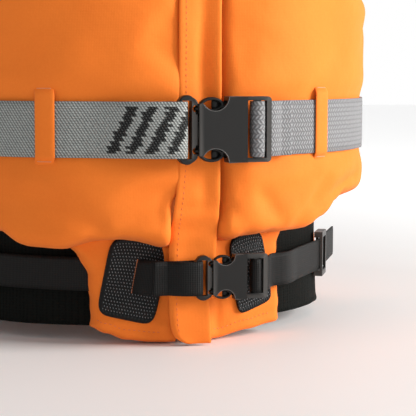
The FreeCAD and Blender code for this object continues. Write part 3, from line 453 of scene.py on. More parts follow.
ARMHOLE = [(250, 181), (258, 171), (272, 152), (297, 140), (325, 132), (362, 127), (400, 124),
           (455, 128)]
FOAM_BOTTOM = {
    1: [(12, 80), (20, 77.5), (27, 74.8), (38, 77.6), (52, 78.6), (76, 79.6), (90, 85),
        (106, 93.5), (118, 98), (182, 99)],
    -1: [(4, 71.5), (22, 71.5), (28, 74.2), (36, 76.6), (45, 78), (54, 77.8), (61, 76.4),
         (68, 74), (76, 71), (96, 72), (118, 82), (182, 99)],
}
# the front panels start this far from the middle; the side seams stand this far before it and
# behind it
PANEL_START = 17
SIDE_SEAM = 25 - SHIFT
BACK_SIDE_SEAM = 30 + SHIFT
# the height of the seam across the back
BACK_SEAM = 300
CREASES = [
    # x, z, x, z, half width, depth: shallow folds in the front panels (left is positive)
    (98, 124, 60, 108, 9, 3.2),
    (112, 120, 86, 90, 6, 3.8),
    (72, 90, 50, 112, 6, 2.8),
    (150, 118, 106, 104, 8, 3.4),
    (40, 84, 24, 104, 6, 2.6),
    (34, 108, 24, 150, 6, 1.4),
    (34, 196, 26, 250, 7, 1.0),
    (126, 212, 96, 188, 8, 1.6),
    (-70, 90, -30, 98, 8, 1.8),
    (-110, 112, -72, 92, 8, 2.6),
    (-24, 96, -22, 132, 6, 1.4),
    (-126, 208, -80, 192, 9, 1.2),
]


def folds(x, z, creases):
    """How far shallow folds push the surface in at a place."""
    push = 0
    for x0, z0, x1, z1, width, depth in creases:
        run = (x1 - x0) ** 2 + (z1 - z0) ** 2
        along = ((x - x0) * (x1 - x0) + (z - z0) * (z1 - z0)) / run
        near = min(1, max(0, along))
        off = math.hypot(x - x0 - near * (x1 - x0), z - z0 - near * (z1 - z0))
        push += depth * math.exp(-(off / width) ** 2)
    return push


def unevenness(point, size, amount):
    return noise.noise(Vector(point) / size) * amount


def belt_waist(z):
    """Foam is squeezed under the waist belt and swells beside it."""
    off = abs(z - WAIST_BELT)
    return -1.6 * math.exp(-(off / 17) ** 4) + 1.7 * math.exp(-((off - 36) / 15) ** 2)


def outer_x(z):
    return soft_ramp(ARMHOLE, z) if z > ARMHOLE[0][0] else 1000


def side_angle(z, side, depth, plane, behind):
    """The angle where the panel ends: the side seam's plane, or the armhole above it."""
    wide, deep, centre = torso_half(z)
    gap = (plane - centre) if behind else (centre - plane)
    seam = math.acos(max(-1, min(1, gap / (deep + depth))))
    arm = math.asin(min(1, outer_x(z) / (wide + side)))
    return min(seam, arm)


def inner_x(z, sign):
    """The front panels' inner edge: beside the flap, then the slanting neckline."""
    low = 4.5 if sign < 0 else 16.5
    foot = 15.8 if sign < 0 else 17.5
    return soft_ramp([(104, foot), (124, low), (318, low), (345, 17), (372, 18), (400, 31),
                      (455, 62)], z)


LAYERS = ("cover", "foam_inner", "foam_outer")
MIRROR = {1: Vector((1, 1, 1)), -1: Vector((-1, 1, 1))}


def front_panel(sign, name):
    """A front panel: foam in an orange cover, rounded at its edges, overhanging the skirt."""
    def spot(v, s):
        bottom = soft_ramp(FOAM_BOTTOM[sign], PANEL_START + s * ROUND)
        z = bottom + (DOME_BASE - bottom) * v
        side_t = side_angle(z, SIDE, FRONT, -SIDE_SEAM, False)
        wide = torso_half(z)[0]
        start_t = math.asin(inner_x(z, sign) / (wide + SIDE))
        t = start_t + (side_t - start_t) * s
        from_inner, from_side = (t - start_t) * ROUND, (side_t - t) * ROUND
        flush = soft_ramp([(84, 0.8), (102, 0.9), (330, 0.8)], z) if sign < 0 else 0.66
        edge = soft_ramp([(345, flush), (380, 0.3)], z)
        radius = soft_ramp([(100, 6), (130, 9 if sign < 0 else 14), (335, 10), (360, 22)], z)
        thick = fall(from_inner, radius, edge) * fall(from_side, 26, 0.22)
        thick *= fall(z - bottom, 17, 0.46, 2.1) * fall(DOME_BASE - z, 9, 0.9)
        plain_spot = around(t, z, SIDE, FRONT)
        x, y = plain_spot.x * sign, plain_spot.y
        extra = belt_waist(z) * min(1, from_side / 30) * min(1, from_inner / 12)
        extra += unevenness((x, y, z), 46, 1.5) + unevenness((x + 90, y, z), 17, 0.5)
        extra -= folds(x, z, CREASES)
        factor = thick + extra * min(1, thick) / FRONT
        hollow_start = math.asin(max(PANEL_START, inner_x(z, sign)) / (wide + 2))
        hollow_end = side_angle(z, 2, 2, -SIDE_SEAM, False)
        return (around(t, z, SIDE * factor, FRONT * factor) * mirror,
                around(hollow_start + (hollow_end - hollow_start) * s, z, 2, 2) * mirror,
                (t * 175 * sign, z))

    mirror = MIRROR[sign]
    piece = shell("front_panel_" + name, ORANGE, *grids(84, share(46)[::sign], spot))
    puff(piece, 3.0)
    subdivide(piece)
    settle(piece, "orange_fabric", *["front_%s_%s" % (name, layer) for layer in LAYERS], fill=0.8)


def back_panel():
    """The back panel: one wide pad from side seam to side seam."""
    def spot(v, s):
        turn = 2 * s - 1
        z = BACK_BOTTOM + (DOME_BASE - BACK_BOTTOM) * v
        side_t = side_angle(z, SIDE, BACK, BACK_SIDE_SEAM, True)
        t = side_t * turn
        from_side = (side_t - abs(t)) * ROUND
        thick = fall(from_side, 24, 0.26) * fall(z - BACK_BOTTOM, 16, 0.5)
        thick *= fall(DOME_BASE - z, 9, 0.9)
        extra = belt_waist(z) * 0.8 * min(1, from_side / 30) + unevenness((t * 170, 0, z), 60, 1.4)
        extra += 1.4 * math.exp(-(t / 0.5) ** 2) - 5.0 * math.exp(-((z - BACK_SEAM) / 5) ** 2)
        factor = thick + extra * min(1, thick) / BACK
        return (around(math.pi - t, z, SIDE * factor, BACK * factor),
                around(math.pi - side_angle(z, 2, 2, BACK_SIDE_SEAM, True) * turn, z, 2, 2),
                (t * 175, z))

    piece = shell("back_panel", ORANGE, *grids(80, share(81)[::-1], spot))
    puff(piece, 2.5)
    subdivide(piece)
    settle(piece, "orange_fabric", "back_cover", "back_foam_inner", "back_foam_outer", fill=0.8)


def held_down(z):
    """The share of the blow that the waist belt lets through: hardly any under it, all beside it."""
    return soft_ramp([(21, 0.06), (36, 1)], abs(z - WAIST_BELT))


CLOTH_SETTINGS = {"vertex_group_mass": "grip", "quality": 5, "mass": 0.3, "use_pressure": True,
                  "uniform_pressure_force": 4.0, "tension_stiffness": 18,
                  "compression_stiffness": 18, "bending_stiffness": 0.6, "shrink_min": -0.03}
CLOTH_STEPS = 20


def puff(obj, cap):
    """Cloth simulation: the cover is blown out against its seams, by no more than cap millimetres."""
    mesh = obj.data
    rest = [vertex.co.copy() for vertex in mesh.vertices]
    work = obj.copy()
    work.data = mesh.copy()
    bpy.context.scene.collection.objects.link(work)
    half = len(rest) // 2
    grip = work.vertex_groups.new(name="grip")
    # the inner grid and the outer grid's border stay on the seams
    border = {loop for edge in mesh.edges for loop in edge.vertices
              if (edge.vertices[0] < half) != (edge.vertices[1] < half)}
    grip.add(list(range(half, 2 * half)), 1.0, "REPLACE")
    grip.add([index for index in border if index < half], 1.0, "REPLACE")
    cloth = work.modifiers.new("cloth", "CLOTH")
    for key, value in CLOTH_SETTINGS.items():
        setattr(cloth.settings, key, value)
    cloth.settings.effector_weights.gravity = 0
    cloth.point_cache.frame_start = 1
    cloth.point_cache.frame_end = CLOTH_STEPS
    for step in range(1, CLOTH_STEPS + 1):
        bpy.context.scene.frame_set(step)
    depsgraph = bpy.context.evaluated_depsgraph_get()
    blown = work.evaluated_get(depsgraph).data
    for index, start in enumerate(rest):
        move = blown.vertices[index].co - start
        limit = cap * MM * held_down(start.z / MM)
        if move.length > 1e-9:
            eased = limit * math.tanh(move.length / limit)
            mesh.vertices[index].co = start + move * (eased / move.length)
    bpy.data.objects.remove(work)
    bpy.context.scene.frame_set(1)


def lining_sheet(name, node, cells):
    """A thin black sheet between two offsets from the torso; cells are grids()' arguments."""
    piece = shell(name, LINING, *grids(*cells))
    settle(piece, "black_lining", node)


def linings():
    """The black linings of the front panels and the back."""
    for sign, name in SIDES:
        def front(v, s):
            bottom = soft_ramp(FOAM_BOTTOM[sign], PANEL_START + s * ROUND) + 2
            z = bottom + (DOME_BASE - 1 - bottom) * v
            start = math.asin(min(0.99, max(PANEL_START, inner_x(z, sign)) / torso_half(z)[0]))
            t = (start + (side_angle(z, 2, 2, -SIDE_SEAM, False) - start) * s) * sign
            return around(t, z, 1.6, 1.6), around(t, z, 0.6, 0.6), (t * 150, z)

        lining_sheet("front_lining_" + name, "front_%s_lining" % name,
                     (40, share(24)[::sign], front))

    def back(v, s):
        z = BACK_BOTTOM + 1 + (DOME_BASE - BACK_BOTTOM - 2) * v
        t = side_angle(z, 2, 2, BACK_SIDE_SEAM, True) * (2 * s - 1)
        return (around(math.pi - t, z, 1.6, 1.6), around(math.pi - t, z, 0.6, 0.6), (t * 150, z))

    lining_sheet("back_lining_sheet", "back_lining", (44, share(49)[::-1], back))


# ---------------------------------------------------------------- shoulders, yoke and collar

DOME_CENTRE = torso_half(DOME_BASE)[2]


def dome_half(side, front, back, rise):
    """The form above the yoke line: half width, front and back half depth, and rise."""
    wide, deep, _ = torso_half(DOME_BASE)
    return wide + side, deep + front, deep + back, rise


DOME_OUT = dome_half(SIDE, FRONT, BACK, DOME_RISE)
DOME_IN = dome_half(2, 2, 2, DOME_RISE_INSIDE + 1)


def dome_angle(x, y, form):
    """The angle from the front where the dome passes y."""
    wide, front, back, _ = form
    slim = math.sqrt(1 - (x / wide) ** 2)
    reach = (front if y < DOME_CENTRE else back) * slim
    return math.acos(max(-1, min(1, (DOME_CENTRE - y) / reach)))


def dome_point(x, angle, form):
    wide, front, back, rise = form
    slim = math.sqrt(1 - (x / wide) ** 2)
    deep = front if angle < math.pi / 2 else back
    return Vector((x, DOME_CENTRE - deep * slim * math.cos(angle),
                   DOME_BASE + 0.4 + rise * slim * math.sin(angle)))


def dome_pad(name, columns, rows, ends, thickness, node):
    """A padded piece of the dome; ends gives each column's first and last y, or None at the base."""
    def spot(v, x):
        first, last = ends(x)
        spots = []
        for form in (DOME_OUT, DOME_IN):
            start = 0 if first is None else dome_angle(x, first, form)
            end = math.pi if last is None else dome_angle(x, last, form)
            spots.append(dome_point(x, start + (end - start) * v, form))
        thick = thickness(x, v) + unevenness(spots[0], 40, 0.035)
        return spots[1].lerp(spots[0], thick), spots[1], (x, v * 200)

    piece = shell(name, ORANGE, *grids(rows, columns, spot))
    subdivide(piece)
    settle(piece, "orange_fabric", node, fill=0.7)


def shoulders():
    """Padded straps from the front panels over the shoulders."""
    low, high = 62, 128
    for sign, name in SIDES:
        columns = [sign * (low + (high - low) * s) for s in share(17)[::sign]]

        def thickness(x, v):
            off = min(abs(x) - low, high - abs(x))
            return fall(off, 18, 0.3) * fall(v * 190, 8, 0.9) * fall((1 - v) * 190, 8, 0.9)

        dome_pad("shoulder_pad_" + name, columns, 50, lambda x: (None, YOKE_SPLIT), thickness,
                 "shoulder_" + name)


def yoke():
    """The pad behind the neck, from the shoulders down to the back panel."""
    reach = 128

    def ends(x):
        neck = NECK[2] + NECK[1] * math.sqrt(max(0, 1 - (x / NECK[0]) ** 2))
        return max(YOKE_SPLIT - 1.6, neck), None

    def thickness(x, v):
        at_neck = soft_ramp([(46, 0.4), (60, 0.9)], abs(x))
        radius = soft_ramp([(46, 18), (60, 8)], abs(x))
        return (fall(reach - abs(x), 18, 0.3) * fall(v * 105, radius, at_neck)
                * fall((1 - v) * 105, 8, 0.9))

    columns = [reach * (2 * s - 1) for s in share(57)]
    dome_pad("back_yoke_pad", columns, 30, ends, thickness, "back_yoke")


def dome_top(spot):
    """The height of the shoulders' and yoke's outer surface over a plan point."""
    off = (spot.x / DOME_OUT[0]) ** 2 + ((spot.y - DOME_CENTRE) / DOME_OUT[2]) ** 2
    return DOME_BASE + DOME_RISE * math.sqrt(max(0, 1 - off))


def collar():
    """The padded collar: a horseshoe round the back of the neck, sewn to the yoke behind."""
    half_x, half_y = NECK[0] + 20, NECK[1] + 20
    first = math.asin((38 - NECK[2]) / half_y)
    rings, uvs = [], []
    rows, around_count = 56, 28
    for s in share(rows):
        angle = first + (math.pi - 2 * first) * s
        middle = Vector((half_x * math.cos(angle), NECK[2] + half_y * math.sin(angle), 0))
        out = Vector((math.cos(angle) / half_x, math.sin(angle) / half_y, 0)).normalized()
        cap = fall(min(s, 1 - s) * 250, 14, 0.55, 2.0)
        floor = dome_top(middle)
        top = soft_ramp([(36, 568), (74, 599)], middle.y)
        ring = []
        for step in range(around_count):
            turn = 2 * math.pi * step / around_count
            square = 0.34 if math.cos(turn) > 0 > math.sin(turn) else 0.7
            wide, tall = rounded(turn, square)
            wide *= 15.5 * cap
            low = dome_top(middle + out * wide) + 0.9
            high = top - (1 - cap) * 10 - max(0, wide) * 0.15
            z = (low + high) / 2 + tall * (high - low) / 2
            seam = 1.6 * math.exp(-((z - (floor + 16)) / 3) ** 2) if wide > 0 else 0
            spot = middle + out * (wide - seam)
            spot.z = z
            spot += out * unevenness(spot, 30, 1.0)
            ring.append(tuple(spot))
            uvs.append((s * 250, z))
        rings.append(ring)
    piece = tube("collar_pad", rings, ORANGE, uvs)
    subdivide(piece)
    settle(piece, "orange_fabric", "collar_cover", "collar_foam", body="collar", fill=0.7)


# ---------------------------------------------------------------- skirts, side panels and flap

HEM = {1: [(8, 0), (24, 0.2), (49, 4.8), (66, 7.6), (80, 9.8)],
       -1: [(8, 0), (24, 0.2), (45, 2.4), (60, 7.4), (72, 12)]}
SKIRT_SIDE = {1: [(8, 81.5), (20, 81), (32, 80), (45, 79), (60, 78), (70, 79), (80, 84)],
              -1: [(12, 68.4), (30, 68), (50, 70), (64, 76), (80, 90)]}
SKIRT_FOLDS = [(-70, 62, -69, 18, 2.5, 1.4), (-62, 20, -71, 34, 3, 1.2), (-22, 66, -19, 20, 4, 2.0),
               (24, 60, 22, 14, 4, 1.4), (70, 60, 64, 30, 4, 1.2), (40, 12, 66, 18, 3, 0.8)]


SKIRT_START, SKIRT_END = 8, 72
FACING_FOOT, ZIP_TOP = 76.6, 372


def front_skirts():
    """The orange skirts below the foam, each with its thin facing behind the zip."""
    for sign, name in SIDES:
        mirror = MIRROR[sign]

        def spot(v, s):
            x = SKIRT_START + (SKIRT_END - SKIRT_START) * s
            hem = soft_ramp(HEM[sign], x)
            z = hem + (soft_ramp(FOAM_BOTTOM[sign], x) + 3 - hem) * v
            far = soft_ramp(SKIRT_SIDE[sign], z) + unevenness((z, 0, 3 * sign), 12, 1.6)
            edge_x = x + (far - SKIRT_END) * s ** 3
            seam = 0.8 * math.exp(-((z - hem - 9) / 1.2) ** 2)
            # near the zip the cloth folds forward over the tape
            over = 4.2 * soft_ramp([(15, 1), (26, 0)], x) * fall(z - hem, 12, 0.5)
            out = 18 * fall(z - hem, 6, 0.7) * fall(SKIRT_END - x, 6, 0.65) + over - seam
            out += unevenness((sign * x, 0, z), 22, 1.0) - folds(sign * x, z, SKIRT_FOLDS)
            return (at_x(edge_x, z, out, out) * mirror, at_x(edge_x, z, 3, 3) * mirror,
                    (sign * x, z))

        def behind_zip(v, s):
            x, z = SKIRT_START + 8.4 * s, FACING_FOOT + (ZIP_TOP - FACING_FOOT) * v
            return [(sign * x, at_x(x, z, out, out).y, z) for out in (17, 15)] + [(sign * x, z)]

        skirt = shell("skirt", ORANGE, *grids(30, share(34)[::sign], spot))
        subdivide(skirt)
        facing = shell("facing", ORANGE, *grids(60, share(4)[::sign], behind_zip))
        piece = joined("front_skirt_piece_" + name, [skirt, facing])
        settle(piece, "orange_fabric", "front_skirt_" + name, fill=0.2)


def back_skirt():
    """The narrow skirt under the back panel."""
    reach, height = 120, 24.6

    def spot(v, s):
        x, z = reach * (1 - 2 * s), height * v
        out = 18 * fall(z, 6, 0.7) * fall(reach - abs(x), 6, 0.65) + unevenness((x, 5, z), 24, 1.0)
        return at_x(x, z, out, out, True), at_x(x, z, 3, 3, True), (x, z)

    piece = shell("back_skirt_piece", ORANGE, *grids(12, share(70), spot))
    subdivide(piece)
    settle(piece, "orange_fabric", "back_skirt", fill=0.2)


MESH_BOTTOM, MESH_HEIGHT = 11.5, 238.5


def side_panels():
    """Stretch mesh between the front and back panels."""
    front_x, back_x = 60, 118
    for sign, name in SIDES:
        mirror = MIRROR[sign]

        def spot(v, s):
            z = MESH_BOTTOM + MESH_HEIGHT * v
            wide = torso_half(z)[0] - 2
            first, last = math.asin(front_x / wide), math.pi - math.asin(back_x / wide)
            t = first + (last - first) * s
            out = -1.6 - 0.7 * fall(z - MESH_BOTTOM, 5, 0.0, 2.0)
            out += unevenness((t * 150 * sign, z * 0.4, 9), 20, 0.7)
            return [around(t, z, out + half, out + half) * mirror for half in (0.7, -0.7)] + [
                (t * 150 * sign, z)]

        piece = shell("side_panel_sheet_" + name, MESH, *grids(60, share(60)[::sign], spot))
        settle(piece, "black_mesh", "side_panel_" + name)


FLAP_LEFT = [(1, -3.2), (4, -9.6), (7, -12.6), (14, -15.4), (24, -16.6), (40, -17.5),
             (66, -17.4), (84, -17), (100, -16.8), (117, -15.6), (135, -13.8)]
FLAP_RIGHT = [(3, 15.4), (19, 14.6), (33, 13.4), (56, 16.6), (72, 18.4), (92, 18.4), (116, 17.2),
              (150, 17.4), (185, 18.2)]
FLAP_FOOT, FLAP_HEIGHT = 1, 334
FLAP_FRONT = [(3, -136.8), (30, -138), (70, -138.6), (84, -141), (100, -147.6), (112, -151)]


def flap_point(across, z):
    """The flap's front face; across runs from 0 at its free left edge to 1 at its right edge."""
    left, right = ramp(FLAP_LEFT, z), ramp(FLAP_RIGHT, z)
    x = left + (right - left) * across
    y = soft_ramp(FLAP_FRONT, z)
    y += 1.0 * math.sin(math.pi * across)
    high = min(1, max(0, (z - 100) / 30))
    y -= high * 0.9 * math.exp(-((across - 0.95) / 0.12) ** 2)
    dip = math.exp(-((z - 208) / 44) ** 2) + 0.35 * math.exp(-((z - 118) / 16) ** 2)
    y += 4.6 * dip * math.exp(-((x - 5.5) / 5.2) ** 2)
    y -= unevenness((x, 1, z), 26, 1.2)
    low = min(1, max(0, (96 - z) / 20))
    y += 2.2 * low * max(0, 1 - across / 0.16) ** 2
    return Vector((x, y, z))


def flap():
    """The flap over the zip: folded cloth, sewn down along its right edge."""
    def spot(v, s):
        place = flap_point(s, FLAP_FOOT + FLAP_HEIGHT * v)
        half = 1.2 * fall(min(s, 1 - s) * 34, 2.2, 0.5)
        return (place + Vector((0, 1.2 - half, 0)), place + Vector((0, 1.2 + half, 0)),
                (place.x, place.z))

    piece = shell("zip_flap_piece", ORANGE, *grids(110, share(18), spot))
    subdivide(piece)
    settle(piece, "orange_fabric", "zip_flap")


# ---------------------------------------------------------------- webbing

def smooth_line(points, step=1.6):
    """An even Catmull-Rom line through plan points, about step millimetres apart."""
    line = []
    padded = [points[0] * 2 - points[1]] + points + [points[-1] * 2 - points[-2]]
    for a, b, c, d in zip(padded, padded[1:], padded[2:], padded[3:]):
        count = max(1, round((c - b).length / step))
        for index in range(count):
            t = index / count
            lead = max((b - a).length, 1e-6)
            span = (c - b).length
            trail = max((d - c).length, 1e-6)
            m1 = ((c - b) / span - (c - a) / (lead + span) + (b - a) / lead) * span
            m2 = ((d - c) / trail - (d - b) / (trail + span) + (c - b) / span) * span
            line.append(b * (2 * t ** 3 - 3 * t ** 2 + 1) + m1 * (t ** 3 - 2 * t ** 2 + t)
                        + c * (3 * t ** 2 - 2 * t ** 3) + m2 * (t ** 3 - t ** 2))
    line.append(points[-1])
    return line


def webbing(name, points, level, height, material, thick=2.0, lean=None, start=0.0):
    """A belt on edge along plan points: rounded selvedges, and lengthwise millimetres as its u."""
    line = smooth_line([Vector((p[0], p[1], 0)) for p in points])
    steps = [(b - a).length for a, b in zip(line, line[1:])]
    rings, uvs = [], []
    length = start
    section = [(s * height, side * (0.72 if s in (0, 1) else 1))
               for side in (1, -1) for s in share(9)[::side]]
    for index, spot in enumerate(line):
        before, after = line[max(index - 1, 0)], line[min(index + 1, len(line) - 1)]
        way = (after - before).normalized()
        normal = Vector((way.y, -way.x, 0))
        if index:
            length += steps[index - 1]
        ring = []
        for h, side in section:
            place = spot + normal * side * thick / 2
            shift = lean(place.x, h - height / 2) if lean else 0
            ring.append((place.x + shift, place.y, level - height / 2 + h))
            uvs.append((length, h))
        rings.append(ring)
    return tube(name, rings, material, uvs)


def ellipse_spot(level, side, depth, degrees):
    point = around(math.radians(degrees), level, side, depth)
    return point.x, point.y


def belt_round(grow):
    """The waist belt's plan from the left front round to the back seam."""
    spots = [ellipse_spot(200, SIDE + grow, FRONT + grow, angle) for angle in range(24, 91, 6)]
    spots += [ellipse_spot(200, SIDE + grow, BACK + grow, angle) for angle in range(96, 181, 6)]
    spots[-1] = (0.4, spots[-1][1])
    return spots


def waist_belts():
    """Grey webbing: the right end is sewn round the plug's ring, the left runs through the slots."""
    around_body = belt_round(1.9)
    right = [(-54, -147.4), (-44, -151.4), (-29, -154.4), (-18.2, -154.8), (-14.2, -154.9),
             (-11.8, -156.8), (-11.2, -159.6), (-11.8, -162.3), (-14.2, -164.2),
             (-18.2, -164.6), (-25, -163.6), (-36, -160.2)] + [(-x, y) for x, y in around_body]
    piece = webbing("waist_belt_webbing_right", right, WAIST_BELT, 40, WEB_STRIPED, start=-45)
    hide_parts("waist_belt_right")
    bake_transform(piece)
    left = [(74, -146.6), (62, -150.4), (50, -153.2), (42, -153.9), (38.8, -155.4),
            (38.2, -159.5), (39.2, -162.9), (42, -164.1), (44.6, -163.6), (46.6, -160.6),
            (48.2, -156.8), (51, -155.5), (55, -154.3)] + around_body
    left = [(x, y + 2.0) if index < 2 else (x, y) for index, (x, y) in enumerate(left)]
    piece = webbing("waist_belt_webbing_left", left, WAIST_BELT, 40, WEB_PLAIN)
    settle(piece, "grey_webbing", "waist_belt_left")


def side_run():
    """The lower belt's taut run beside the side panel, to its end at the back panel's edge."""
    start = Vector(ellipse_spot(60, 4.9, 4.9, 61))
    end = Vector((183, 28 + SHIFT))
    return [tuple(start.lerp(end, part)) for part in (0, 0.33, 0.66, 1)]


def lower_belts():
    """Black webbing: the right end dives through its patch, the left crosses to the adjuster."""
    right = [(-30, -139.9), (-16, -140.3), (-6, -140.6), (-1, -140.7), (2.9, -140.9), (4.9, -142.6),
             (5.1, -144.8), (4.4, -147.2), (2.6, -148.3), (0, -148.5), (-3, -148.2), (-8, -147.0)]
    right += [(-17, -141.5), (-25, -136.2), (-31.5, -131.5), (-36.2, -127.5), (-39.5, -122.5)]
    right += [(-ellipse_spot(60, out, out, angle)[0], ellipse_spot(60, out, out, angle)[1])
              for out, angle in ((13, 15.2), (10, 18), (9, 22), (8, 27), (5, 44), (4.9, 52))]
    right += [(-x, y) for x, y in side_run()]

    def slot_lean(x, h):
        return 0.17 * h * math.exp(-((x + 40) / 9) ** 2)

    piece = webbing("lower_belt_webbing_right", right, LOWER_BELT, 25, WEB_BLACK, 1.8, slot_lean)
    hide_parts("lower_belt_right")
    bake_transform(piece)
    left = [(60, -131.2), (53.5, -135.8), (47.3, -138.7), (44.5, -140.6), (43.9, -144.2),
            (44.6, -147.2), (46.8, -148.1), (48.9, -147.4), (50.1, -144.4), (51.3, -141.2),
            (53.8, -139.2), (58.5, -136)]
    leaving = ellipse_spot(60, 24.6, 24.6, 28)
    left += [ellipse_spot(60, 25.2, 25.2, 23.4), leaving]
    left += [tuple(Vector(leaving).lerp(Vector(side_run()[0]), part)) for part in (0.35, 0.7)]
    left += side_run()
    piece = webbing("lower_belt_webbing_left", left, LOWER_BELT, 25, WEB_BLACK, 1.8)
    settle(piece, "black_webbing", "lower_belt_left")


def loop_band(name, node, centre, depth, behind, sign):
    """A cloth loop sewn above and below the waist belt."""
    low, high, width = 134.5, 191.5, 13
    flip = -1 if (sign > 0) == behind else 1

    def spot(v, s):
        x, z = centre - width / 2 + width * s, low + (high - low) * v
        out = 0.5 + 3.3 * soft_ramp([(1.5, 0), (6, 1)], min(z - low, high - z))
        wall = 1.5 * fall(min(s, 1 - s) * width, 1.6, 0.55)
        return (at_x(x, z, SIDE + out + wall, depth + out + wall, behind) * MIRROR[sign],
                at_x(x, z, SIDE + out, depth + out, behind) * MIRROR[sign], (x, z))

    piece = shell(name, ORANGE, *grids(36, share(7)[::flip], spot))
    subdivide(piece)
    settle(piece, "orange_fabric", node)


LOOP_X = 105.8


def loops():
    for sign, name in SIDES:
        loop_band("belt_loop_band_" + name, "belt_loop_" + name, LOOP_X, FRONT, False, sign)
        loop_band("back_loop_band_" + name, "back_belt_loop_" + name, 60, BACK, True, sign)


# ---------------------------------------------------------------- patches

PATCHES = {
    # corners seen from the front: top outer, top inner, bottom inner, bottom outer
    "right": ((-56, 79.8), (-12.4, 75.4), (-25.4, 14), (-67, 23.6)),
    "left": ((61.6, 81), (32.4, 75), (41, 17.6), (72, 27.4)),
}
SLOT_TOP, SLOT_FOOT = (-37.6, 65), (-42.6, 37.4)


def patch_spot(corners, s, t, grow):
    """A point on a patch; s and t run from -1 to 1 across and down it, with rounded corners."""
    round_off = 0.2
    a = s * math.sqrt(1 - round_off * t ** 8)
    b = t * math.sqrt(1 - round_off * s ** 8)
    top = Vector(corners[0]).lerp(Vector(corners[1]), (a + 1) / 2)
    foot = Vector(corners[3]).lerp(Vector(corners[2]), (a + 1) / 2)
    place = top.lerp(foot, (b + 1) / 2)
    bulge = 2.6 * (1 - a * a) * (0.5 - 0.5 * b)
    out = 18.6 + grow
    return at_x(place.x, min(80.5, place.y + bulge), out, out)


def patches():
    """Black mesh patches with a bound rim and a grid of beads painted light grey as highlights."""
    for name, corners in PATCHES.items():
        def spot(v, s):
            a, b = 2 * s - 1, 1 - 2 * v
            edge = min(1 - abs(a), 1 - abs(b))
            grow = 1.9 + 1.1 * math.exp(-((edge - 0.045) / 0.04) ** 2)
            grow -= 1.6 * math.exp(-(edge / 0.02) ** 2)
            return (patch_spot(corners, a, b, grow), patch_spot(corners, a, b, -0.4),
                    (s * 40, v * 55))

        flip = -1 if name == "left" else 1
        piece = shell("belt_patch_mesh_" + name, PATCH, *grids(36, share(30)[::flip], spot))
        subdivide(piece)
        settle(piece, "patch_mesh", "belt_patch_" + name)
        beads(name, corners)


def beads(name, corners):
    """The mesh's shining crossings, as small flattened beads in slanted rows, painted light grey as a
    highlight.
    """
    wide = (Vector(corners[1]) - Vector(corners[0])).length
    tall = (Vector(corners[3]) - Vector(corners[0])).length
    across, down = round(wide / 2.2), round(tall / 2.3)
    verts, faces = [], []
    for row in range(1, down):
        for column in range(1, across):
            a = 2 * (column + 0.5 * (row % 2)) / across - 1
            b = 2 * row / down - 1
            if abs(a) > 0.9 or abs(b) > 0.93:
                continue
            here = patch_spot(corners, a, b, 1.75)
            near = patch_spot(corners, a + 0.02, b, 1.75)
            under = patch_spot(corners, a, b + 0.02, 1.75)
            right = (near - here).normalized()
            down_way = (under - here).normalized()
            out = right.cross(down_way).normalized()
            if out.y > 0:
                out = -out
            slant = (right * 0.45 + down_way).normalized()
            flat = out.cross(slant)
            base = len(verts)
            for long, short, rise in ((0.66, 0.4, 0), (0.38, 0.22, 0.42)):
                for step in range(8):
                    turn = step * math.pi / 4
                    verts.append(here + slant * long * math.cos(turn)
                                 + flat * short * math.sin(turn) + out * rise)
            for step in range(8):
                after = (step + 1) % 8
                faces.append((base + step, base + after, base + 8 + after, base + 8 + step))
            faces.append(tuple(base + 8 + step for step in range(8)))
            faces.append(tuple(base + step for step in range(8))[::-1])
    piece = mesh_piece("belt_patch_beads_" + name, verts, faces, BEADS)
    settle(piece, "patch_mesh")


# ---------------------------------------------------------------- buckle prongs and edges

BUCKLES = {
    # mouth x, plane y, level, notch x and radius, half height, depth, pivot x and z, bow half size,
    # prong depth, housing length
    "waist": (-3, -165 + SHIFT, WAIST_BELT, 11.8, 10, 23.5, 12, -2.2, 15, (8.0, 4.2), 5.0, 36),
    "lower": (13, -149.8 + SHIFT, LOWER_BELT, 9.4, 7.4, 16.5, 8.4, -1.7, 10.4, (6.0, 3.1), 3.6,
              26),
}


def rounded_loop(centre, half_size, wall, depth, count=40):
    """A lens-shaped ring in the XZ plane with a soft section."""
    rows = []
    for step in range(count):
        turn = 2 * math.pi * step / count
        way = Vector((math.cos(turn), 0, math.sin(turn)))
        pinch = 1 - 0.22 * abs(math.cos(turn)) ** 3
        middle = Vector((centre[0] + half_size[0] * way.x, centre[1],
                         centre[2] + half_size[1] * way.z * pinch))
        out = Vector((way.x / half_size[0], 0, way.z / half_size[1])).normalized()
        row = []
        for part in range(10):
            angle = 2 * math.pi * part / 10
            across, deep = rounded(angle, 0.7)
            row.append(middle + out * across * wall / 2 + Vector((0, deep * depth / 2, 0)))
        rows.append(row)
    verts = [p for row in rows for p in row]
    faces = []
    for r in range(count):
        for c in range(10):
            d, e = (c + 1) % 10, (r + 1) % count
            faces.append((r * 10 + c, e * 10 + c, e * 10 + d, r * 10 + d))
    return verts, faces


def bar(points, wide, depth):
    """A flat bar through points of the XZ plane, as rings for tube()."""
    rings = []
    for index, spot in enumerate(points):
        before, after = points[max(index - 1, 0)], points[min(index + 1, len(points) - 1)]
        way = (Vector(after) - Vector(before)).normalized()
        out = Vector((-way.z, 0, way.x))
        ring = []
        for part in range(10):
            angle = 2 * math.pi * part / 10
            across, deep = rounded(angle, 0.6)
            ring.append(Vector(spot) + out * across * wide / 2 + Vector((0, deep * depth / 2, 0)))
        rings.append(ring)
    return rings


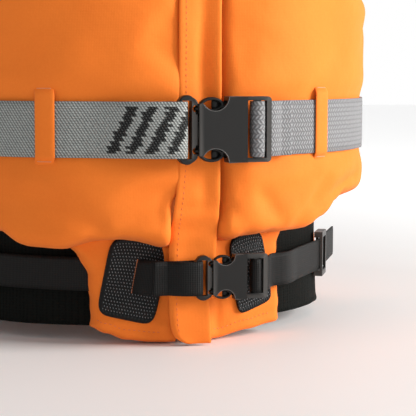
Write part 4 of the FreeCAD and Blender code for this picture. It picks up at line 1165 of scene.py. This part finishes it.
def prongs():
    """The plug's springy arms: a bowed head with an open middle in each finger notch."""
    for buckle, facts in BUCKLES.items():
        mouth, plane, level, notch, radius, half, _, pivot_x, pivot_z, bow, depth, _ = facts
        for sign, word in ((1, "upper"), (-1, "under")):
            head = (mouth + notch - 1.4, plane, level + sign * (half - radius * 0.57))
            verts, faces = rounded_loop(head, bow, 2.5 * bow[1] / 4.3, depth)
            ring = mesh_piece("head", verts, faces, ACETAL)
            arm = [(mouth + pivot_x, plane, level + sign * pivot_z),
                   (mouth + 1, plane, level + sign * pivot_z),
                   (mouth + notch - 1.6 - bow[0] * 0.8, plane, head[2] - sign * bow[1] * 0.2)]
            stem = tube("stem", bar(arm, 2.6 * bow[1] / 4.3, depth), ACETAL)
            tail = [(head[0] + bow[0] * 0.8, plane, head[2] - sign * bow[1] * 0.3),
                    (head[0] + bow[0] * 1.5, plane, level + sign * (pivot_z + 0.6)),
                    (mouth + notch + radius * 1.25, plane, level + sign * pivot_z)]
            barb = tube("barb", bar(tail, 3.0 * bow[1] / 4.3, depth), ACETAL)
            web = [(head[0] + bow[0] * 0.05, plane + 1, head[2]),
                   (head[0] + bow[0] * 0.85, plane + 1, head[2])]
            plate = tube("web", bar(web, bow[1] * 1.5, 1.2), ACETAL)
            piece = joined("%s_prong_bow_%s" % (buckle, word), [ring, stem, barb, plate])
            settle(piece, "black_acetal", "%s_buckle_prong_%s" % (buckle, word),
                   body="%s_prong_%s" % (buckle, word))


def edge_lips():
    """A bead along the socket's finger notches and rear edge, coloured light grey: a painted
    highlight where the light catches.
    """
    for buckle, facts in BUCKLES.items():
        mouth, plane, level, notch, radius, half, depth, _, _, _, _, housing = facts
        face = plane - depth / 2 + 0.35
        beads = []
        for sign in (1, -1):
            start = math.asin(0.5)
            line = []
            for s in share(22):
                turn = math.pi + start + (math.pi - start) * s
                line.append((mouth + notch + (radius + 0.3) * math.cos(turn), face,
                             level + sign * (half + (radius + 0.3) * math.sin(turn))))
            line += [(mouth + housing - 1.2, face, level + sign * (half - 0.35))]
            # painted highlight: a light grey bead along the notch edge
            beads.append(tube("lip", bar(line, 0.6, 0.6), LIP_HIGHLIGHT))
        piece = joined(buckle + "_socket_lips", beads)
        settle(piece, "black_acetal")


# ---------------------------------------------------------------- zip tapes and thread

TAPE_PLANE, TAPE_FOOT = -131.6 + SHIFT, 10


def tapes():
    """The zip's woven tapes."""
    for sign, name in SIDES:
        def spot(v, s):
            x, z = 2.8 + 13.6 * s, TAPE_FOOT + (ZIP_TOP - TAPE_FOOT) * v
            return [(sign * x, TAPE_PLANE + off, z) for off in (-0.4, 0.4)] + [(sign * x, z)]

        piece = shell("zip_tape_strip_" + name, TAPE, *grids(90, share(6)[::sign], spot))
        settle(piece, "zip_tape", "zip_tape_" + name)


def stitches(name, host, path, material, pitch=3.4, length=2.3, thick=0.55):
    """A row of stitches along a path of points, each laid on the host piece's surface."""
    line = []
    for a, b in zip(path, path[1:]):
        a, b = Vector(a), Vector(b)
        count = max(1, round((b - a).length / 0.8))
        line += [a.lerp(b, index / count) for index in range(count)]
    verts, faces = [], []
    run = 0
    for index in range(1, len(line) - 1):
        run += (line[index] - line[index - 1]).length
        if run < pitch:
            continue
        run = 0
        found, place, out, _ = host.closest_point_on_mesh(line[index] * MM)
        if not found:
            continue
        place = place / MM
        way = (line[index + 1] - line[index - 1]).normalized()
        way = (way - out * way.dot(out)).normalized()
        flat = out.cross(way)
        base = len(verts)
        verts.append(place - way * length / 2 - out * 0.1)
        for reach in (-0.3, 0.3):
            for u, w in ((-1, 0.05), (-0.5, 0.75), (0.5, 0.75), (1, 0.05)):
                verts.append(place + way * length * reach + flat * u * thick / 2
                             + out * w * thick * 0.6)
        verts.append(place + way * length / 2 - out * 0.1)
        for step in range(4):
            after = (step + 1) % 4
            faces.append((base, base + 1 + after, base + 1 + step))
            faces.append((base + 1 + step, base + 1 + after, base + 5 + after, base + 5 + step))
            faces.append((base + 9, base + 5 + step, base + 5 + after))
    piece = mesh_piece(name, verts, faces, material)
    settle(piece, "orange_fabric")


def seams():
    """Visible thread: the flap's left edge, the hems, the slot's binding and the loops' bar tacks."""
    flap_obj = bpy.data.objects["zip_flap_piece"]
    levels = [8 + 4 * step for step in range(81)]
    stitches("flap_stitches", flap_obj,
             [tuple(flap_point(0.17, z) + Vector((0, -1, 0))) for z in levels], THREAD)
    for sign, name in SIDES:
        skirt = bpy.data.objects["front_skirt_piece_" + name]
        path = []
        for s in share(30):
            x = 18 + 52 * s
            point = at_x(x, soft_ramp(HEM[sign], x) + 9, 18, 18)
            path.append((sign * point.x, point.y, point.z))
        stitches("hem_stitches_" + name, skirt, path, THREAD)
        band = bpy.data.objects["belt_loop_band_" + name]
        for level in (137.2, 189):
            point = [at_x(LOOP_X - 5 + 10 * s, level, SIDE + 2.5, FRONT + 2.5) for s in share(5)]
            stitches("bar_tack_%s_%d" % (name, level), band,
                     [(sign * p.x, p.y, p.z) for p in point], TACK, 0.9, 2.2, 0.8)
    slot_line = []
    for s in share(12):
        x = SLOT_TOP[0] + (SLOT_FOOT[0] - SLOT_TOP[0]) * s
        z = SLOT_TOP[1] + (SLOT_FOOT[1] - SLOT_TOP[1]) * s
        slot_line.append(tuple(at_x(x, z, 22.5, 22.5)))
    stitches("slot_stitches", bpy.data.objects["belt_patch_mesh_right"], slot_line, BROWN, 1.5,
             2.0, 1.1)


def patch_finish():
    made = Finish("patch_mesh", (0.007, 0.008, 0.008), 0.55, specular=0.2)
    pores = made.wave(made.split(made.place(True))[0], 0.0026)
    rows = made.wave(made.split(made.place(True))[1], 0.00275)
    height = made.times(pores, rows)
    made.colour(made.mix(height, (0.003, 0.0035, 0.0035), (0.013, 0.014, 0.015)))
    made.bump(height, 0.0006, 0.8)
    return made.material


def plain(name, colour, roughness, size=0.002):
    made = Finish(name, colour, roughness, sheen=0.2)
    darker = tuple(part * 0.8 for part in colour)
    made.colour(made.mix(made.noise(size), darker, colour))
    return made.material


PATCH = patch_finish()
# painted highlight: the light grey of the mesh's shining crossings
BEADS = plain("patch_beads", (0.2, 0.21, 0.22), 0.35)
# painted highlight: the light grey of the beads along the socket's edges
LIP_HIGHLIGHT = plain("painted_highlight_acetal", (0.09, 0.087, 0.083), 0.3)
THREAD = plain("orange_thread", (0.78, 0.13, 0.015), 0.6)
BROWN = plain("slot_thread", (0.5, 0.13, 0.03), 0.6)
TACK = plain("tack_thread", (0.85, 0.3, 0.12), 0.6)


def frame_finishes():
    """The CAD parts that stay get their finished materials."""
    finishes = {"buckle": ACETAL, "adjuster": ACETAL, "zip_teeth": ACETAL, "zip_box": ACETAL,
                "zip_slider": METAL, "zip_pull": METAL}
    for name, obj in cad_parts.items():
        for word, material in finishes.items():
            if word in name:
                for holder in obj.material_slots:
                    holder.material = material


# ---------------------------------------------------------------- camera, floor and light

def camera():
    data = bpy.data.cameras.new("camera")
    data.lens = 119.2
    data.sensor_width = 36
    data.clip_start = 0.05
    data.clip_end = 20
    obj = bpy.data.objects.new("camera", data)
    bpy.context.scene.collection.objects.link(obj)
    yaw, pitch, roll = (math.radians(angle) for angle in (17.8, -5.8, -0.1))
    way = Vector((math.sin(yaw) * math.cos(pitch), math.cos(yaw) * math.cos(pitch),
                  math.sin(pitch)))
    obj.location = (-0.294, -1.091, 0.2035)
    obj.rotation_mode = "QUATERNION"
    obj.rotation_quaternion = way.to_track_quat("-Z", "Y") @ Quaternion((0, 0, 1), -roll)
    bpy.context.scene.camera = obj


def softbox(name, place, aim, size, power, colour):
    data = bpy.data.lights.new(name, "AREA")
    data.shape = "RECTANGLE"
    data.size, data.size_y = size
    data.energy = power
    data.color = colour
    obj = bpy.data.objects.new(name, data)
    obj.location = place
    obj.rotation_mode = "QUATERNION"
    obj.rotation_quaternion = (Vector(aim) - Vector(place)).to_track_quat("-Z", "Y")
    bpy.context.scene.collection.objects.link(obj)


def studio():
    """A pale floor, one soft box and a pale world, brighter near the horizon."""
    finish = Finish("floor", (0.9, 0.9, 0.9), 0.6)
    finish.colour(finish.mix(finish.noise(0.3, 2.0), (0.88, 0.88, 0.88), (0.92, 0.92, 0.92)))
    # the paper sweep glows white away from the jacket
    across, back = finish.split(finish.place())[:2]
    far = finish.math("SQRT", finish.math("ADD", finish.times(across, across),
                                          finish.times(back, back)))
    glow = finish.node("ShaderNodeMapRange")
    finish.link(far, glow.inputs["Value"])
    for socket, value in (("From Min", 0.35), ("From Max", 1.3), ("To Max", 0.5)):
        glow.inputs[socket].default_value = value
    finish.shader.inputs["Emission Color"].default_value = (1, 1, 1, 1)
    finish.link(glow.outputs[0], finish.shader.inputs["Emission Strength"])
    reach = 6000
    floor = mesh_piece("floor", [(-reach, -reach, -0.5), (reach, -reach, -0.5),
                                 (reach, reach, -0.5), (-reach, reach, -0.5)],
                       [(0, 1, 2, 3)], finish.material)
    world = bpy.data.worlds.new("studio")
    world.use_nodes = True
    tree = world.node_tree
    place = tree.nodes.new("ShaderNodeTexCoord")
    parts = tree.nodes.new("ShaderNodeSeparateXYZ")
    glow = tree.nodes.new("ShaderNodeMapRange")
    tree.links.new(place.outputs["Generated"], parts.inputs[0])
    tree.links.new(parts.outputs["Z"], glow.inputs["Value"])
    # bright walls near the horizon, a dimmer ceiling
    for socket, value in (("From Min", 0.06), ("From Max", 0.4), ("To Min", 1.0), ("To Max", 0.4)):
        glow.inputs[socket].default_value = value
    tree.links.new(glow.outputs[0], tree.nodes["Background"].inputs[1])
    tree.nodes["Background"].inputs[0].default_value = (1, 1, 1, 1)
    bpy.context.scene.world = world
    softbox("key", (1.9, -1.0, 0.85), (0, 0, 0.2), (1.0, 1.0), 70, (1, 0.985, 0.96))
    bpy.context.scene.view_settings.view_transform = "Standard"


for side_sign, side_name in SIDES:
    front_panel(side_sign, side_name)
back_panel()
linings()
shoulders()
yoke()
collar()
front_skirts()
back_skirt()
side_panels()
flap()
waist_belts()
lower_belts()
loops()
patches()
prongs()
edge_lips()
tapes()
seams()
frame_finishes()
camera()
studio()
